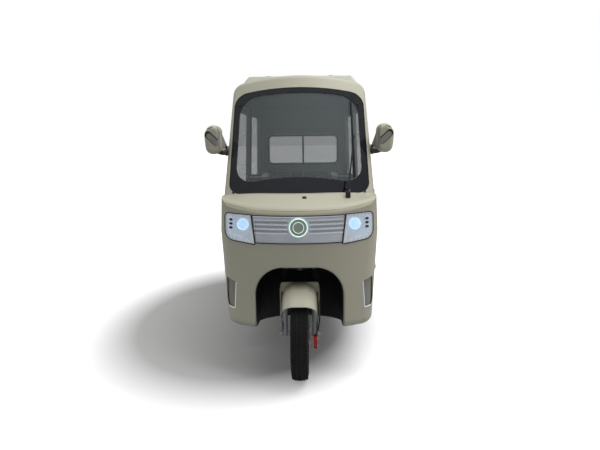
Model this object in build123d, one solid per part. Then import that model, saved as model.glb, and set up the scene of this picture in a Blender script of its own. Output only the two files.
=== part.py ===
from build123d import *
import math
import os

# Electric tuk-tuk in millimetres: forward is -Y, up is +Z, +X is the side with the brake caliper.
# The origin lies on the ground under the middle of the vehicle's box.

# Driving dimensions
overall_length = 2600
tyre_radius = 247.5
tyre_width = 98
wheelbase = 1950
rear_track = 900

front_axle_y = -overall_length / 2 + tyre_radius
axle_z = tyre_radius


def y_at(behind_axle):
    """Y of a place given by its distance behind the front axle."""
    return front_axle_y + behind_axle


# Cab shell
wall = 25
sill_z = 286
sill_half = 418
belt_z = 820
belt_half = 466
eave_z = 1722
eave_half = 447
crown_z = 1782
eave_round = 85
cab_rear = 2285
rear_lean = 85
sill_round = 45
corner_round = 110
rear_round = 95
least_round = 6
far = 600
upper_foot_z = 900
cowl_seam_set = 25
cowl_seam_z = 975
cowl_seam_rise = 38
cowl_foot_fall = 12
seam_drop = 17
roll_drop = 27
roll_tilt = 0.25
roll_radius = 60
cowl_stations = (-520, -430, -330, -200, 0, 200, 330, 430, 520)
nose_d = -85
nose_radius = 850
nose_top_z = 1060

# Windscreen, a cylinder about an axis along its slope
screen_foot_d = 60
screen_foot_z = 1034
screen_head_d = 400
screen_head_z = 1696
screen_radius = 950
pillar_round = 40
screen_half = 430
screen_corner = 85
screen_slant = math.hypot(screen_head_d - screen_foot_d, screen_head_z - screen_foot_z)
border_inset = 4
border_thick = 3
glass_thick = 5
glass_gap = 0.3
clear_half = 388
clear_foot = 113
clear_head = 708
clear_corner = 115
screen_arch = 40
clear_arch = -18
foot_bow = 1800

# Raised roof box behind the windscreen header
roof_box_front = 830
roof_box_rear = 2225
roof_box_lean = 90
roof_box_round = 14.5
roof_top_z = 1834
roof_top_half = 391
roof_edge_z = 1766
roof_edge_half = 439
roof_foot_z = 1640
roof_foot_half = 448.5
roof_split_z = 1655

# Front wheel arch and its liner
arch_half = 252
arch_foot_half = 241
arch_top_z = 640
arch_corner = 165
arch_lip = 10
liner_wall = 6
liner_half = 258
liner_centre_d = 112
liner_foot_front_z = 286
liner_foot_rear_z = 215

# Doors
door_front_d = 345
door_rear_d = 1287
door_foot_z = 330
door_knee_z = 1090
door_head_z = 1600
door_head_d = 575
door_round = 45
door_gap = 5
window_margin = 50
window_sill_z = 985
hinge_radius = 9
hinge_pin_radius = 5
hinge_fit = 0.05
hinge_heights = (560, 1000)
hinge_length = 60

# Steering
rake = math.radians(20)
trail_offset = 42
leg_x = 86
leg_radius = 17
tube_radius = 15
clamp_s = 345
clamp_thick = 28
head_tube_low = 440
head_tube_high = 580
head_tube_radius = 30
steerer_radius = 20
pivot_fit = 0.05
stem_s = 880

# Fender
fender_radius = 281
fender_half = 100
fender_wall = 3
fender_front_angle = 41
fender_rear_angle = 70

# Wheels
rim_radius = 160
axle_radius = 8.5
rear_axle_radius = 14
disc_radius = 108

# Chassis
rail_x = 230
rail_wide = 40
rail_high = 60
rail_low_z = 226
rail_kick_z = 340
rail_front_d = 385
kick_d = 1560
kick_run = 80
deck_z = 420
rear_arch_radius = 300
rear_arch_wall = 8
flare_x = 515
wheel_box_x = 372
flare_thick = 22
rear_split_d = 2130
floor_edge_x = 330


def outline(rows, by=0):
    """Closed face from rows of (across, up, corner radius), grown by an offset."""
    points = [row[:2] for row in rows]
    radii = [row[2] for row in rows]
    face = make_face(FilletPolyline(*points, radius=radii, close=True))
    return offset(face, by) if by else face


def prism_x(rows, x_low, x_high, by=0):
    """Prism along X whose rows are (distance behind the axle, z, radius)."""
    face = outline([(y_at(d), z, r) for d, z, r in rows], by)
    return extrude(Plane.YZ.offset(x_low) * face, x_high - x_low, dir=(1, 0, 0))


def prism_y(rows, d_low, d_high, by=0):
    """Prism along Y whose rows are (x, z, radius)."""
    plane = Plane(origin=(0, y_at(d_low), 0), x_dir=(1, 0, 0), z_dir=(0, -1, 0))
    return extrude(plane * outline(rows, by), d_high - d_low, dir=(0, 1, 0))


def block(x, d, z):
    """Box between (low, high) pairs of x, distance behind the axle, and z."""
    size = [high - low for low, high in (x, d, z)]
    middle = ((x[0] + x[1]) / 2, y_at((d[0] + d[1]) / 2), (z[0] + z[1]) / 2)
    return Pos(*middle) * Box(*size)


def at(x, d, z):
    return Vector(x, y_at(d), z)


def rod(start, end, radius):
    """Round bar between two points."""
    run = end - start
    return Plane(origin=start, z_dir=run) * Pos(0, 0, run.length / 2) * Cylinder(radius, run.length)


def bent_tube(points, bend, radius):
    """Round tube along straight runs joined by tangent arcs."""
    path = FilletPolyline(*points, radius=bend)
    start = Plane(origin=path @ 0, z_dir=path % 0)
    return sweep(start * Circle(radius), path=path)


def both_sides(shape):
    return Compound(children=[shape, mirror(shape, about=Plane.YZ)])


def span(side, low, high):
    """X range on one side of the cab."""
    return (low, high) if side > 0 else (-high, -low)


def left_of(shape):
    return mirror(shape, about=Plane.YZ)


def main_solid(shape):
    """The largest solid, without slivers that a cut leaves."""
    return max(shape.solids(), key=lambda solid: solid.volume)


def side_half(z):
    """Half-width of the cab at a height: it tapers down to the sill and up to the eave."""
    if z <= belt_z:
        return sill_half + (belt_half - sill_half) * (z - sill_z) / (belt_z - sill_z)
    return belt_half + (eave_half - belt_half) * (z - belt_z) / (eave_z - belt_z)


def back_d(z):
    """Place of the rear face, which leans forward above the belt line."""
    return cab_rear - rear_lean * max(0, z - belt_z) / (crown_z - belt_z)


def sagitta(radius, x):
    return radius - math.sqrt(radius**2 - x**2)


# The windscreen's plane: X across, Y up the slope, Z out of the glass
slope = Vector(0, screen_head_d - screen_foot_d, screen_head_z - screen_foot_z).normalized()
outward = Vector(0, -slope.Z, slope.Y)
screen_plane = Plane(origin=at(0, screen_foot_d, screen_foot_z), x_dir=(1, 0, 0), z_dir=outward)


def screen_point(x, up, out):
    """Point at a height up the slope, out from the curved glass."""
    turn = math.asin(x / screen_radius)
    radius = screen_radius + out
    depth = screen_radius - radius * math.cos(turn)
    across = radius * math.sin(turn)
    return screen_plane.origin + Vector(across, 0, 0) + slope * up - outward * depth


def body_plan(z, inset):
    """Plan outline of the cab at a height: bowed nose, straight sides, round corners."""
    half = side_half(z) - inset
    radius = nose_radius - inset
    front = y_at(nose_d + inset + sagitta(radius, half))
    back = y_at(back_d(z) - inset)
    nose = ThreePointArc((-half, front), (0, y_at(nose_d + inset)), (half, front))
    sides = Polyline((half, front), (half, back), (-half, back), (-half, front))
    face = make_face([nose, *sides.edges()])
    middle = (front + back) / 2
    face = fillet(face.vertices().filter_by(lambda v: v.Y < middle), corner_round - inset)
    face = fillet(face.vertices().filter_by(lambda v: v.Y > back - 1), rear_round - inset)
    return Plane.XY.offset(z) * face


def across_plane(d):
    """Plane facing forward, with X across and Y up."""
    return Plane(origin=(0, y_at(d), 0), x_dir=(1, 0, 0), z_dir=(0, -1, 0))


def crown_prism(inset):
    """Space under the crowned roof skin."""
    half, rise = eave_half - inset, crown_z - eave_z
    radius = (half**2 + rise**2) / (2 * rise)
    top = crown_z - inset
    low = top - sagitta(radius, far)
    arc = ThreePointArc((far, low), (0, top), (-far, low))
    rest = Polyline((-far, low), (-far, 0), (far, 0), (far, low))
    section = make_face([arc, *rest.edges()])
    return extrude(across_plane(nose_d - far) * section, cab_rear + 3 * far, dir=(0, 1, 0))


def screen_solid(inset):
    """Space behind the windscreen's cylinder."""
    radius = screen_radius - inset
    bow = inset + sagitta(radius, far)
    deep = 2 * cab_rear
    across = Plane(origin=screen_plane.origin, x_dir=(1, 0, 0), z_dir=slope)
    arc = ThreePointArc((-far, bow), (0, inset), (far, bow))
    rest = Polyline((far, bow), (far, deep), (-far, deep), (-far, bow))
    return extrude(across * make_face([arc, *rest.edges()]), deep, both=True)


def cowl_line(x):
    """Seam and foot of the cowl at a distance from the middle: (d, z) each."""
    share = abs(x) / screen_half
    seam_d = nose_d + cowl_seam_set + sagitta(nose_radius, x)
    seam_z = cowl_seam_z + cowl_seam_rise * share**3.2
    foot_d = screen_foot_d + sagitta(screen_radius, x) * slope.Z
    foot_z = screen_foot_z - cowl_foot_fall * share**2
    return (seam_d, seam_z), (foot_d, foot_z)


def under_cowl(inset):
    """Space below the cowl, which rolls over into the nose under a seam that smiles up."""
    sections = []
    for x in cowl_stations:
        (seam_d, seam_z), (foot_d, foot_z) = cowl_line(x)
        rise = (foot_z - seam_z) / (foot_d - seam_d)
        nose = nose_d + sagitta(nose_radius, x)
        turn_z = seam_z + rise * (nose - seam_d) - roll_drop
        level = seam_z - inset * math.hypot(1, rise)
        front = nose + inset * math.hypot(1, roll_tilt)
        crest_z = (level + rise * (front - roll_tilt * turn_z - seam_d)) / (1 - rise * roll_tilt)
        crest_d = front + roll_tilt * (crest_z - turn_z)
        low_z = sill_z - 100
        low_d = front + roll_tilt * (low_z - turn_z)
        bend_z = level + rise * (door_front_d - seam_d)
        rows = [
            (low_d, low_z, 0),
            (2 * cab_rear, low_z, 0),
            (2 * cab_rear, bend_z, 0),
            (door_front_d, bend_z, 0),
            (crest_d, crest_z, roll_radius - inset),
        ]
        sections.append(Plane.YZ.offset(x) * outline([(y_at(d), z, r) for d, z, r in rows]))
    return loft(sections)


def under_seam():
    """Space below the level seam between fascia and cowl."""
    sections = []
    for x in cowl_stations:
        seam_z = cowl_line(x)[0][1] - seam_drop
        rows = [
            (nose_d - 200, sill_z - 100, 0),
            (cab_rear, sill_z - 100, 0),
            (cab_rear, seam_z, 0),
            (nose_d - 200, seam_z, 0),
        ]
        sections.append(Plane.YZ.offset(x) * outline([(y_at(d), z, r) for d, z, r in rows]))
    return loft(sections)


def main_volume(inset):
    """Cab without its roof box: lofted tub and sides under the crown, cut back by the
    windscreen and the cowl, with every outer edge rounded."""
    heights = (sill_z + inset, belt_z, crown_z + 20)
    volume = loft([body_plan(z, inset) for z in heights], ruled=True) & crown_prism(inset)
    ahead = block((-far, far), (nose_d - 100, cab_rear), (upper_foot_z, roof_top_z + 50))
    volume -= ahead - screen_solid(inset) - under_cowl(inset)
    eaves = [e for e in volume.edges() if e.center().Z > eave_z - inset - 60]
    eaves = [e for e in eaves if abs(e.center().X) > 50 or e.center().Y > 0]
    volume = fillet(eaves, eave_round - inset)
    radius = screen_radius - inset
    glass = [f for f in volume.faces() if abs((f.radius or 0) - radius) < 0.01][0]
    low = screen_foot_z + 40
    rim = [e for e in glass.edges() if e.center().Z > low]
    volume = fillet(rim, max(pillar_round - inset, least_round))
    bottom = volume.faces().sort_by(Axis.Z)[0]
    return fillet(bottom.edges(), max(sill_round - inset, least_round))


def roof_box(inset):
    """Raised tail of the roof with slanted sides and a sloped front."""
    top, edge, foot = roof_top_half - inset, roof_edge_half - inset, roof_foot_half - inset
    rows = [
        (foot, roof_foot_z, 0),
        (edge, roof_edge_z, 30),
        (top, roof_top_z - inset, 20),
        (-top, roof_top_z - inset, 20),
        (-edge, roof_edge_z, 30),
        (-foot, roof_foot_z, 0),
    ]
    profile = [
        (roof_box_front + inset, roof_foot_z, 0),
        (roof_box_rear - inset, roof_foot_z, 0),
        (roof_box_rear - inset - roof_box_lean / 2, roof_top_z + 50, 0),
        (roof_box_front + inset + 1.4 * roof_box_lean, roof_top_z + 50, 0),
    ]
    body = prism_y(rows, roof_box_front, roof_box_rear) & prism_x(profile, -belt_half, belt_half)
    rim = body.faces().sort_by(Axis.Z)[-1].edges()
    return fillet(rim, roof_box_round - inset / 2)


volumes = {}


def glazed_volume(inset):
    """Cab volume without the roof box, kept once made."""
    if inset not in volumes:
        volumes[inset] = main_volume(inset)
    return volumes[inset]


def cab_volume(inset):
    """Outer form of the whole cab, drawn in by the inset."""
    key = ("whole", inset)
    if key not in volumes:
        volumes[key] = glazed_volume(inset) + roof_box(inset)
    return volumes[key]


nose_keep = ((-far, far), (nose_d - 50, 200), (350, 975))
skins = {}


def nose_skin(outer, inner):
    """Layer of the nose between two insets."""
    key = (outer, inner)
    if key not in skins:
        skins[key] = (glazed_volume(outer) & block(*nose_keep)) - glazed_volume(inner)
    return skins[key]


def skin(region):
    """Full-thickness cab wall inside a region."""
    return (glazed_volume(0) & region) - glazed_volume(wall)


# Openings in the shell

def arch_prism(inset, d_low, d_high):
    """Front wheel arch opening seen from the front."""
    top, foot = arch_half - inset, arch_foot_half - inset
    rows = [
        (foot, 0, 0),
        (top, arch_top_z - inset, arch_corner),
        (-top, arch_top_z - inset, arch_corner),
        (-foot, 0, 0),
    ]
    return prism_y(rows, d_low, d_high)


def screen_prism(half, foot, head, corner, arch, deep=150, high=80):
    """Prism through the windscreen, drawn in its sloping plane, its foot arched down in the middle."""
    rows = [
        (half, foot + arch, corner),
        (half, head, corner),
        (-half, head, corner),
        (-half, foot + arch, corner),
        (0, foot, foot_bow),
    ]
    face = screen_plane * outline(rows)
    reach = extrude(face, high, dir=tuple(outward))
    return reach + extrude(face, deep, dir=tuple(outward * -1))


def door_rows(inset, foot=door_foot_z):
    """Door outline from the side, with its front edge along the sloping pillar."""
    run = door_head_d - door_front_d
    rise = door_head_z - door_knee_z
    slant = math.hypot(run, rise)
    knee = inset * (slant - rise) / run
    head = inset * (slant + run) / rise
    return [
        (door_front_d + inset, foot + inset, door_round),
        (door_front_d + inset, door_knee_z - knee, 100),
        (door_head_d + head, door_head_z - inset, door_round),
        (door_rear_d - inset, door_head_z - inset, door_round),
        (door_rear_d - inset, foot + inset, door_round),
    ]


def window_prism(by=0):
    rows = door_rows(window_margin, foot=window_sill_z - window_margin)
    return prism_x([(d, z, 40) for d, z, r in rows], 300, 600, by)


quarter_rows = [(1370, 985, 50), (1370, 1550, 50), (2060, 1550, 70), (2110, 985, 50)]
rear_window = dict(half=367, low=1074, high=1390, corner=55)


def rear_window_prism(by, d_low=2100, d_high=2400):
    half, low, high, corner = (rear_window[k] for k in ("half", "low", "high", "corner"))
    rows = [(half, low, corner), (half, high, corner), (-half, high, corner), (-half, low, corner)]
    return prism_y(rows, d_low, d_high, by)


# Lamp strip: rows seen from the front, for the +X side
lamp_top_z = 932
lamp_low_z = 768
strip_half = 429
lamp_inner_top = 271
lamp_inner_low = 249
divider = 6
grille_inset = 3
lamp_depth = 52
lens_thick = 4
lamp_x = 322
lamp_rows = [
    (lamp_inner_low, lamp_low_z, 4),
    (lamp_inner_top, lamp_top_z, 4),
    (strip_half, lamp_top_z + 4, 22),
    (strip_half, lamp_low_z + 20, 55),
]
grille_rows = [
    (lamp_inner_low - divider, 778, 3),
    (lamp_inner_top - divider, 928, 3),
    (-lamp_inner_top + divider, 928, 3),
    (-lamp_inner_low + divider, 778, 3),
]
strip_depth = 14


# Cab panels

def front_region():
    """Nose up to the door's front edge, under the cowl seam."""
    ahead = block((-600, 600), (nose_d - 50, door_front_d - door_gap), (sill_z - 50, nose_top_z))
    return ahead & under_seam()


def screen_region():
    """Cowl, pillars and header, in front of the doors and the roof panel."""
    rows = [
        (nose_d - 200, upper_foot_z - 20, 0),
        (door_front_d - door_gap, upper_foot_z - 20, 0),
        (door_front_d - door_gap, door_knee_z + 2, 100),
        (door_head_d - door_gap, door_head_z + 8, 40),
        (roof_panel_d, door_head_z + 8, 0),
        (roof_panel_d, roof_top_z + 50, 0),
        (nose_d - 200, roof_top_z + 50, 0),
    ]
    return prism_x(rows, -600, 600) - front_region()


roof_panel_d = 700


def on_arch_lip(edge):
    """Whether an edge runs along the outer rim of the wheel arch."""
    middle = edge @ 0.5
    nose_y = y_at(nose_d + sagitta(nose_radius, middle.X))
    in_arch = abs(middle.X) < arch_half + 4 and sill_z + 4 < middle.Z < arch_top_z + 1
    return in_arch and abs(middle.Y - nose_y) < 2 and edge.length > 20


def front_fascia():
    """Nose wall below the seam, with the wheel arch and the lamp strip's pocket."""
    region = front_region() - arch_prism(0, nose_d - 50, 200)
    region -= block((-floor_edge_x, floor_edge_x), (0, 400), (sill_z - 20, sill_z + wall + 1))
    window = prism_y(lamp_rows, nose_d - 60, 150, by=-14)
    region -= window + left_of(window)
    panel = skin(region)
    lip = [e for e in panel.edges() if on_arch_lip(e)]
    panel = fillet(lip, arch_lip)
    strip = prism_y(grille_rows, nose_d - 60, 150)
    lamp = prism_y(lamp_rows, nose_d - 60, 150)
    opening = strip + lamp + left_of(lamp)
    panel -= opening & nose_skin(0, strip_depth)
    vent = vent_prism(0)
    panel -= (vent + left_of(vent)) & nose_skin(0, vent_depth)
    return panel


vent_depth = 12
vent_rows = [(373, 395, 8), (366, 545, 14), (424, 562, 6), (424, 430, 6), (412, 395, 8)]


def vent_prism(by):
    return prism_y([(x, z, r) for x, z, r in vent_rows], nose_d - 50, 120)


def vent_inserts():
    slab = nose_skin(vent_depth - 4, vent_depth)
    insert = prism_y(vent_rows, nose_d - 50, 120, by=-1) & slab
    return both_sides(insert)


def windscreen_frame():
    """Cowl, pillars and header round the glass, with a rebate for it."""
    lap = 20
    opening = screen_prism(clear_half + lap, clear_foot - lap, clear_head + lap / 2, clear_corner, clear_arch)
    frame = skin(screen_region() - opening)
    rebate_depth = border_inset + border_thick + glass_thick + glass_gap
    rebate = screen_prism(screen_half + 1, -1, screen_slant + 1, screen_corner + 1, screen_arch)
    return frame - (rebate - glazed_volume(rebate_depth))


def windscreen_glass():
    near = border_inset + border_thick
    slab = glazed_volume(near) - glazed_volume(near + glass_thick)
    return screen_prism(screen_half, 0, screen_slant, screen_corner, screen_arch) & slab


def windscreen_border():
    slab = glazed_volume(border_inset) - glazed_volume(border_inset + border_thick)
    ring = screen_prism(screen_half, 0, screen_slant, screen_corner, screen_arch)
    ring -= screen_prism(clear_half, clear_foot, clear_head, clear_corner, clear_arch)
    return ring & slab


def roof_panel():
    """Crowned roof skin and the raised box on it."""
    high = block((-far, far), (roof_panel_d, cab_rear + 20), (roof_split_z, roof_top_z + 20))
    return (cab_volume(0) & high) - cab_volume(wall)


def side_panel(side):
    """One side wall from the door's front edge to the rear panel, with the arch flare."""
    lengths = (door_front_d - door_gap, rear_split_d)
    region = block(span(side, floor_edge_x, far), lengths, (sill_z - 10, roof_split_z))
    region -= prism_x(door_rows(-door_gap), *span(side, 300, far))
    region -= prism_x(quarter_rows, *span(side, 300, far))
    region -= rear_arch(side, 300)
    region = main_solid(region - screen_region())
    front_part = block((-far, far), (0, rear_split_d), (0, deck_z * 2))
    return main_solid(skin(region) + (flare(side) & front_part))


def rear_arch(side, x_low):
    """Cylinder over one rear wheel, outwards from an x."""
    centre = Pos(side * (x_low + far) / 2, y_at(wheelbase), axle_z) * Rot(0, 90, 0)
    return centre * Cylinder(rear_arch_radius, far - x_low)


def flare(side):
    """Wheel-arch flare: a lip round the arch that reaches past the tyre."""
    inner_x = 400
    centre = Pos((inner_x + flare_x) / 2, y_at(wheelbase), axle_z) * Rot(0, 90, 0)
    outer = Cylinder(rear_arch_radius + flare_thick, flare_x - inner_x)
    ring = centre * (outer - Cylinder(rear_arch_radius, 2 * flare_x))
    ring = fillet(ring.edges().filter_by(GeomType.CIRCLE).sort_by(Axis.X)[-1], 14)
    ring &= block((0, far), (0, cab_rear), (sill_z, 700))
    return (ring if side > 0 else left_of(ring)) - glazed_volume(wall)


def wheel_box():
    """Inner wheel housing in the passenger space."""
    centre = Pos(0, y_at(wheelbase), axle_z) * Rot(0, 90, 0)
    low_x = wheel_box_x
    outer = centre * Cylinder(rear_arch_radius + rear_arch_wall, 900)
    inner = centre * Cylinder(rear_arch_radius, 900)
    inner_face = low_x + rear_arch_wall
    hull = (outer - inner) + (outer & block((low_x, inner_face), (0, far_back), (0, 700)))
    hull &= block((low_x, 600), (0, far_back), (sill_z + wall + 1, 700))
    return hull & glazed_volume(wall)


far_back = 2400


def rear_panel():
    """Tail of the cab with its window, and the last of both arch flares."""
    region = block((-far, far), (rear_split_d, cab_rear + 20), (sill_z - 10, roof_split_z))
    region -= block((-350, 350), (2000, cab_rear - wall - 1), (sill_z - 20, sill_z + wall + 1))
    region -= rear_window_prism(0)
    for side in (1, -1):
        region -= rear_arch(side, 300)
    panel = skin(region)
    tail = block((-far, far), (rear_split_d, cab_rear + 50), (0, deck_z * 2))
    for side in (1, -1):
        panel += flare(side) & tail
    return main_solid(panel)


neck_radius = 19
neck_d = rail_front_d + 25
floor_front_d = liner_centre_d + liner_half + 3


def floor_pan():
    """Front floor, riser and the raised deck over the rear axle."""
    plate = 20
    rows = [
        (floor_front_d, sill_z + wall, 0),
        (floor_front_d, sill_z, 0),
        (kick_d, sill_z, 0),
        (kick_d, deck_z - plate, 0),
        (cab_rear - wall - 4, deck_z - plate, 0),
        (cab_rear - wall - 4, deck_z, 0),
        (kick_d - plate, deck_z, 0),
        (kick_d - plate, sill_z + wall, 0),
    ]
    pan = prism_x(rows, -600, 600)
    inner = glazed_volume(wall) + block((-330, 330), (300, 1700), (sill_z, 400))
    pan &= inner
    pan -= wheel_box() + left_of(wheel_box())
    for side in (1, -1):
        pan -= rear_arch(side, wheel_box_x)
        pan -= rod(at(side * 90, neck_d, 200), at(side * 90, neck_d, 400), neck_radius + 0.5)
    return pan


def liner():
    """Open-bottomed wheel well: straight sides, a round back and a domed top."""
    def plan(half, z_low, z_high):
        centre = at(0, liner_centre_d, 0)
        round_back = Pos(centre.X, centre.Y, (z_low + z_high) / 2) * Cylinder(half, z_high - z_low)
        straight = block((-half, half), (nose_d - 60, liner_centre_d), (z_low, z_high))
        return round_back + straight

    top = arch_top_z
    outer = plan(liner_half, 150, top + 60) & arch_prism(-liner_wall, nose_d - 60, 500)
    inner = plan(liner_half - liner_wall, 100, top + 80) & arch_prism(0, nose_d - 70, 500)
    well = outer - inner
    keep_rows = [
        (nose_d - 60, liner_foot_front_z, 0),
        (0, liner_foot_front_z, 0),
        (liner_centre_d + liner_half, liner_foot_rear_z, 0),
        (liner_centre_d + liner_half + 20, liner_foot_rear_z, 0),
        (liner_centre_d + liner_half + 20, top + 60, 0),
        (nose_d - 60, top + 60, 0),
    ]
    well &= prism_x(keep_rows, -400, 400)
    well &= main_volume_lower()
    slot = prism_x([
        (column_d(top - 60) - 70, top - 60, 0),
        (column_d(top - 60) + 70, top - 60, 0),
        (column_d(top + 40) + 70, top + 40, 0),
        (column_d(top + 40) - 70, top + 40, 0),
    ], -45, 45)
    return well - slot


def main_volume_lower():
    """Space inside the nose skin, where the well ends against the fascia."""
    return glazed_volume(wall) + block((-liner_half - 9, liner_half + 9), (0, 500), (100, sill_z + 40))


def column_d(z):
    """Distance behind the axle of the steering axis at a height."""
    return trail_offset + (z - axle_z) * math.tan(rake)


axis_up = Vector(0, math.sin(rake), math.cos(rake))
axis_foot = at(0, trail_offset, axle_z)
fork_lead = trail_offset * math.cos(rake)
fork_ahead = Vector(0, -math.cos(rake), math.sin(rake))


def on_column(x, s, ahead=0):
    """Point beside the steering axis: across, along it, and ahead of it."""
    return axis_foot + Vector(x, 0, 0) + axis_up * s + fork_ahead * ahead


# Chassis

def chassis_frame():
    rear_end = cab_rear - wall - 12
    low, high = rail_low_z, rail_low_z + rail_high
    kick = rail_kick_z
    rows = [
        (rail_front_d, low, 0),
        (kick_d + 20, low, 30),
        (kick_d + kick_run + 20, kick, 15),
        (rear_end, kick, 0),
        (rear_end, kick + rail_high, 0),
        (kick_d + kick_run, kick + rail_high, 30),
        (kick_d + 18, high, 30),
        (rail_front_d, high, 0),
    ]
    rail = prism_x(rows, rail_x - rail_wide / 2, rail_x + rail_wide / 2)
    frame = rail + left_of(rail)
    inner = rail_x - rail_wide / 2
    cross = [(rail_front_d, low, 50), (900, low, 40), (1450, low, 40), (2080, kick, 40)]
    for d, z, wide in cross:
        frame += block((-inner, inner), (d, d + wide), (z + 5, z + rail_high - 5))
    for d in (560, 1180):
        outrigger = block((rail_x, sill_half - 60), (d, d + 40), (low + 15, high))
        frame += outrigger + left_of(outrigger)
    for side in (1, -1):
        neck = bent_tube([
            at(side * 90, neck_d, high - 20),
            at(side * 90, neck_d, 665),
            at(side * 30, column_d(730) + 10, 730),
        ], [45], neck_radius)
        frame += neck
    tube = rod(on_column(0, head_tube_low), on_column(0, head_tube_high), head_tube_radius)
    frame += tube
    frame -= rod(on_column(0, 400), on_column(0, 620), steerer_radius + pivot_fit)
    tow_rows = [
        (2080, kick + 20, 0),
        (2120, kick + 20, 0),
        (2160, 285, 0),
        (2335, 280, 14),
        (2335, 240, 14),
        (2110, 240, 30),
    ]
    frame += prism_x(tow_rows, -6, 6)
    frame -= Pos(0, y_at(tow_d), tow_z) * Rot(0, 90, 0) * Cylinder(tow_radius, 40)
    return frame


tow_d = 2312
tow_z = 260
tow_radius = 10


def rear_axle():
    centre = Pos(0, y_at(wheelbase), axle_z) * Rot(0, 90, 0)
    stub = 2 * (rear_track / 2 - 5)
    axle = centre * Cylinder(30, 2 * 330)
    axle += centre * Cylinder(rear_axle_radius, stub)
    for side in (1, -1):
        axle += Pos(side * 340, y_at(wheelbase), axle_z) * Rot(0, 90, 0) * Cylinder(90, 40)
    gear = Pos(20, y_at(wheelbase), axle_z) * Rot(0, 90, 0) * Cylinder(92, 110)
    axle += fillet(gear.edges(), 18)
    motor = Pos(20, y_at(wheelbase - 150), axle_z) * Rot(90, 0, 0) * Cylinder(72, 200)
    axle += motor
    seat = block((rail_x - 25, rail_x + 25), (wheelbase - 45, wheelbase + 45), (axle_z, axle_z + 34))
    return axle + seat + left_of(seat)


def leaf_springs():
    """Three stacked leaves a side, from rail to rail over the axle seat."""
    base = axle_z + 34
    springs = []
    for side in (1, -1):
        pack = None
        for number, half_length in enumerate((270, 210, 140)):
            rise = 24 * (half_length / 270) ** 2
            low = base + (2 - number) * 8
            arc_rows = (
                (wheelbase - half_length, low + rise),
                (wheelbase, low),
                (wheelbase + half_length, low + rise),
            )
            lower = ThreePointArc(*[(y_at(d), z) for d, z in arc_rows])
            upper = ThreePointArc(*[(y_at(d), z + 8) for d, z in arc_rows])
            ends = [Line(lower @ 0, upper @ 0), Line(lower @ 1, upper @ 1)]
            face = Plane.YZ.offset(side * rail_x - 22) * make_face([lower, upper, *ends])
            leaf = extrude(face, 44, dir=(1, 0, 0))
            pack = leaf if pack is None else pack + leaf
        for end in (-270, 270):
            z = base + 16 + 24 + 4
            eye = Pos(side * rail_x, y_at(wheelbase + end), z) * Rot(0, 90, 0) * Cylinder(11, 44)
            hanger = block(
                (side * rail_x - 22, side * rail_x + 22),
                (wheelbase + end - 10, wheelbase + end + 10), (z, rail_kick_z),
            )
            pack = pack + eye + hanger
        springs.append(pack)
    return Compound(children=springs)


def battery_box():
    box = block((-330, 330), (1700, 2120), (deck_z, 555))
    return fillet(box.edges().filter_by(Axis.Z), 20)


# Glazing

def quarter_glass():
    slab = glazed_volume(10) - glazed_volume(15)
    pane = prism_x(quarter_rows, 300, 600, by=-glass_gap) & slab
    return both_sides(pane)


def rear_glass():
    slab = glazed_volume(8) - glazed_volume(13)
    return rear_window_prism(-glass_gap) & slab


def rear_window_seal():
    slab = glazed_volume(1) - glazed_volume(8 - glass_gap)
    ring = rear_window_prism(-glass_gap) - rear_window_prism(-22, 2050, 2450)
    return ring & slab


# Front lamps and grille

def headlamp():
    """Bowl-shaped lamp housing, open to the front behind its cover."""
    slab = nose_skin(lens_thick + 1, strip_depth - glass_gap)
    rim = prism_y(lamp_rows, nose_d - 60, 150, by=-1) & slab
    core = prism_y(lamp_rows, nose_d - 60, 190, by=-15) & nose_skin(lens_thick + 1, lamp_depth)
    hollow = prism_y(lamp_rows, nose_d - 60, 190, by=-19) & nose_skin(0, lamp_depth - 6)
    return rim + core - hollow


def lamp_lenses():
    slab = nose_skin(1, lens_thick + 1)
    cover = prism_y(lamp_rows, nose_d - 60, 150, by=-1) & slab
    return both_sides(cover)


lamp_z = 876
projector_radius = 36


def front_lights():
    """Round projectors in the lamp bowls and the glowing ring on the grille."""
    ball = Pos(lamp_x, y_at(22), lamp_z) * Sphere(projector_radius - 4)
    barrel = rod(at(lamp_x, 2, lamp_z), at(lamp_x, 70, lamp_z), projector_radius)
    projector = (ball + barrel) & nose_skin(8, lamp_depth - 6)
    ring_centre = Pos(0, y_at(nose_d - 3), emblem_z) * Rot(90, 0, 0)
    ring = ring_centre * (Cylinder(emblem_radius, 8) - Cylinder(emblem_radius - 7, 20))
    ring = ring - glazed_volume(grille_inset)
    return Compound(children=[projector, left_of(projector), ring])


emblem_z = 866
emblem_radius = 52
slot_pitch_x = 11.3
slot_pitch_z = 25
slot_columns = 17
slot_first_x = 64
slot_middle_z = 868
slot_wide = 5
slot_high = 14


def slot_cutter(x, z):
    """Upright six-sided slot through the grille."""
    wide, high, point = slot_wide / 2, slot_high / 2, slot_wide / 2
    corners = [
        (x - wide, z - high + point),
        (x, z - high),
        (x + wide, z - high + point),
        (x + wide, z + high - point),
        (x, z + high),
        (x - wide, z + high - point),
    ]
    face = across_plane(nose_d - 60) * make_face(Polyline(*corners, close=True))
    return extrude(face, 160, dir=(0, 1, 0))


def grille_panel():
    """Flush bowed panel between the lamps, with three rows of upright slots a side."""
    slab = nose_skin(grille_inset, strip_depth - glass_gap)
    panel = prism_y(grille_rows, nose_d - 60, 100) & slab
    cutters = []
    for side in (1, -1):
        for column in range(slot_columns):
            x = side * (slot_first_x + column * slot_pitch_x)
            for row in (-1, 0, 1):
                cutters.append(slot_cutter(x, slot_middle_z + row * slot_pitch_z))
    return panel - cutters



# Mirrors and wiper

mirror_rows = [(487, 1272, 42), (588, 1262, 48), (602, 1400, 60), (566, 1456, 44), (496, 1440, 44)]
mirror_front_d = 262
mirror_deep = 74


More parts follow.
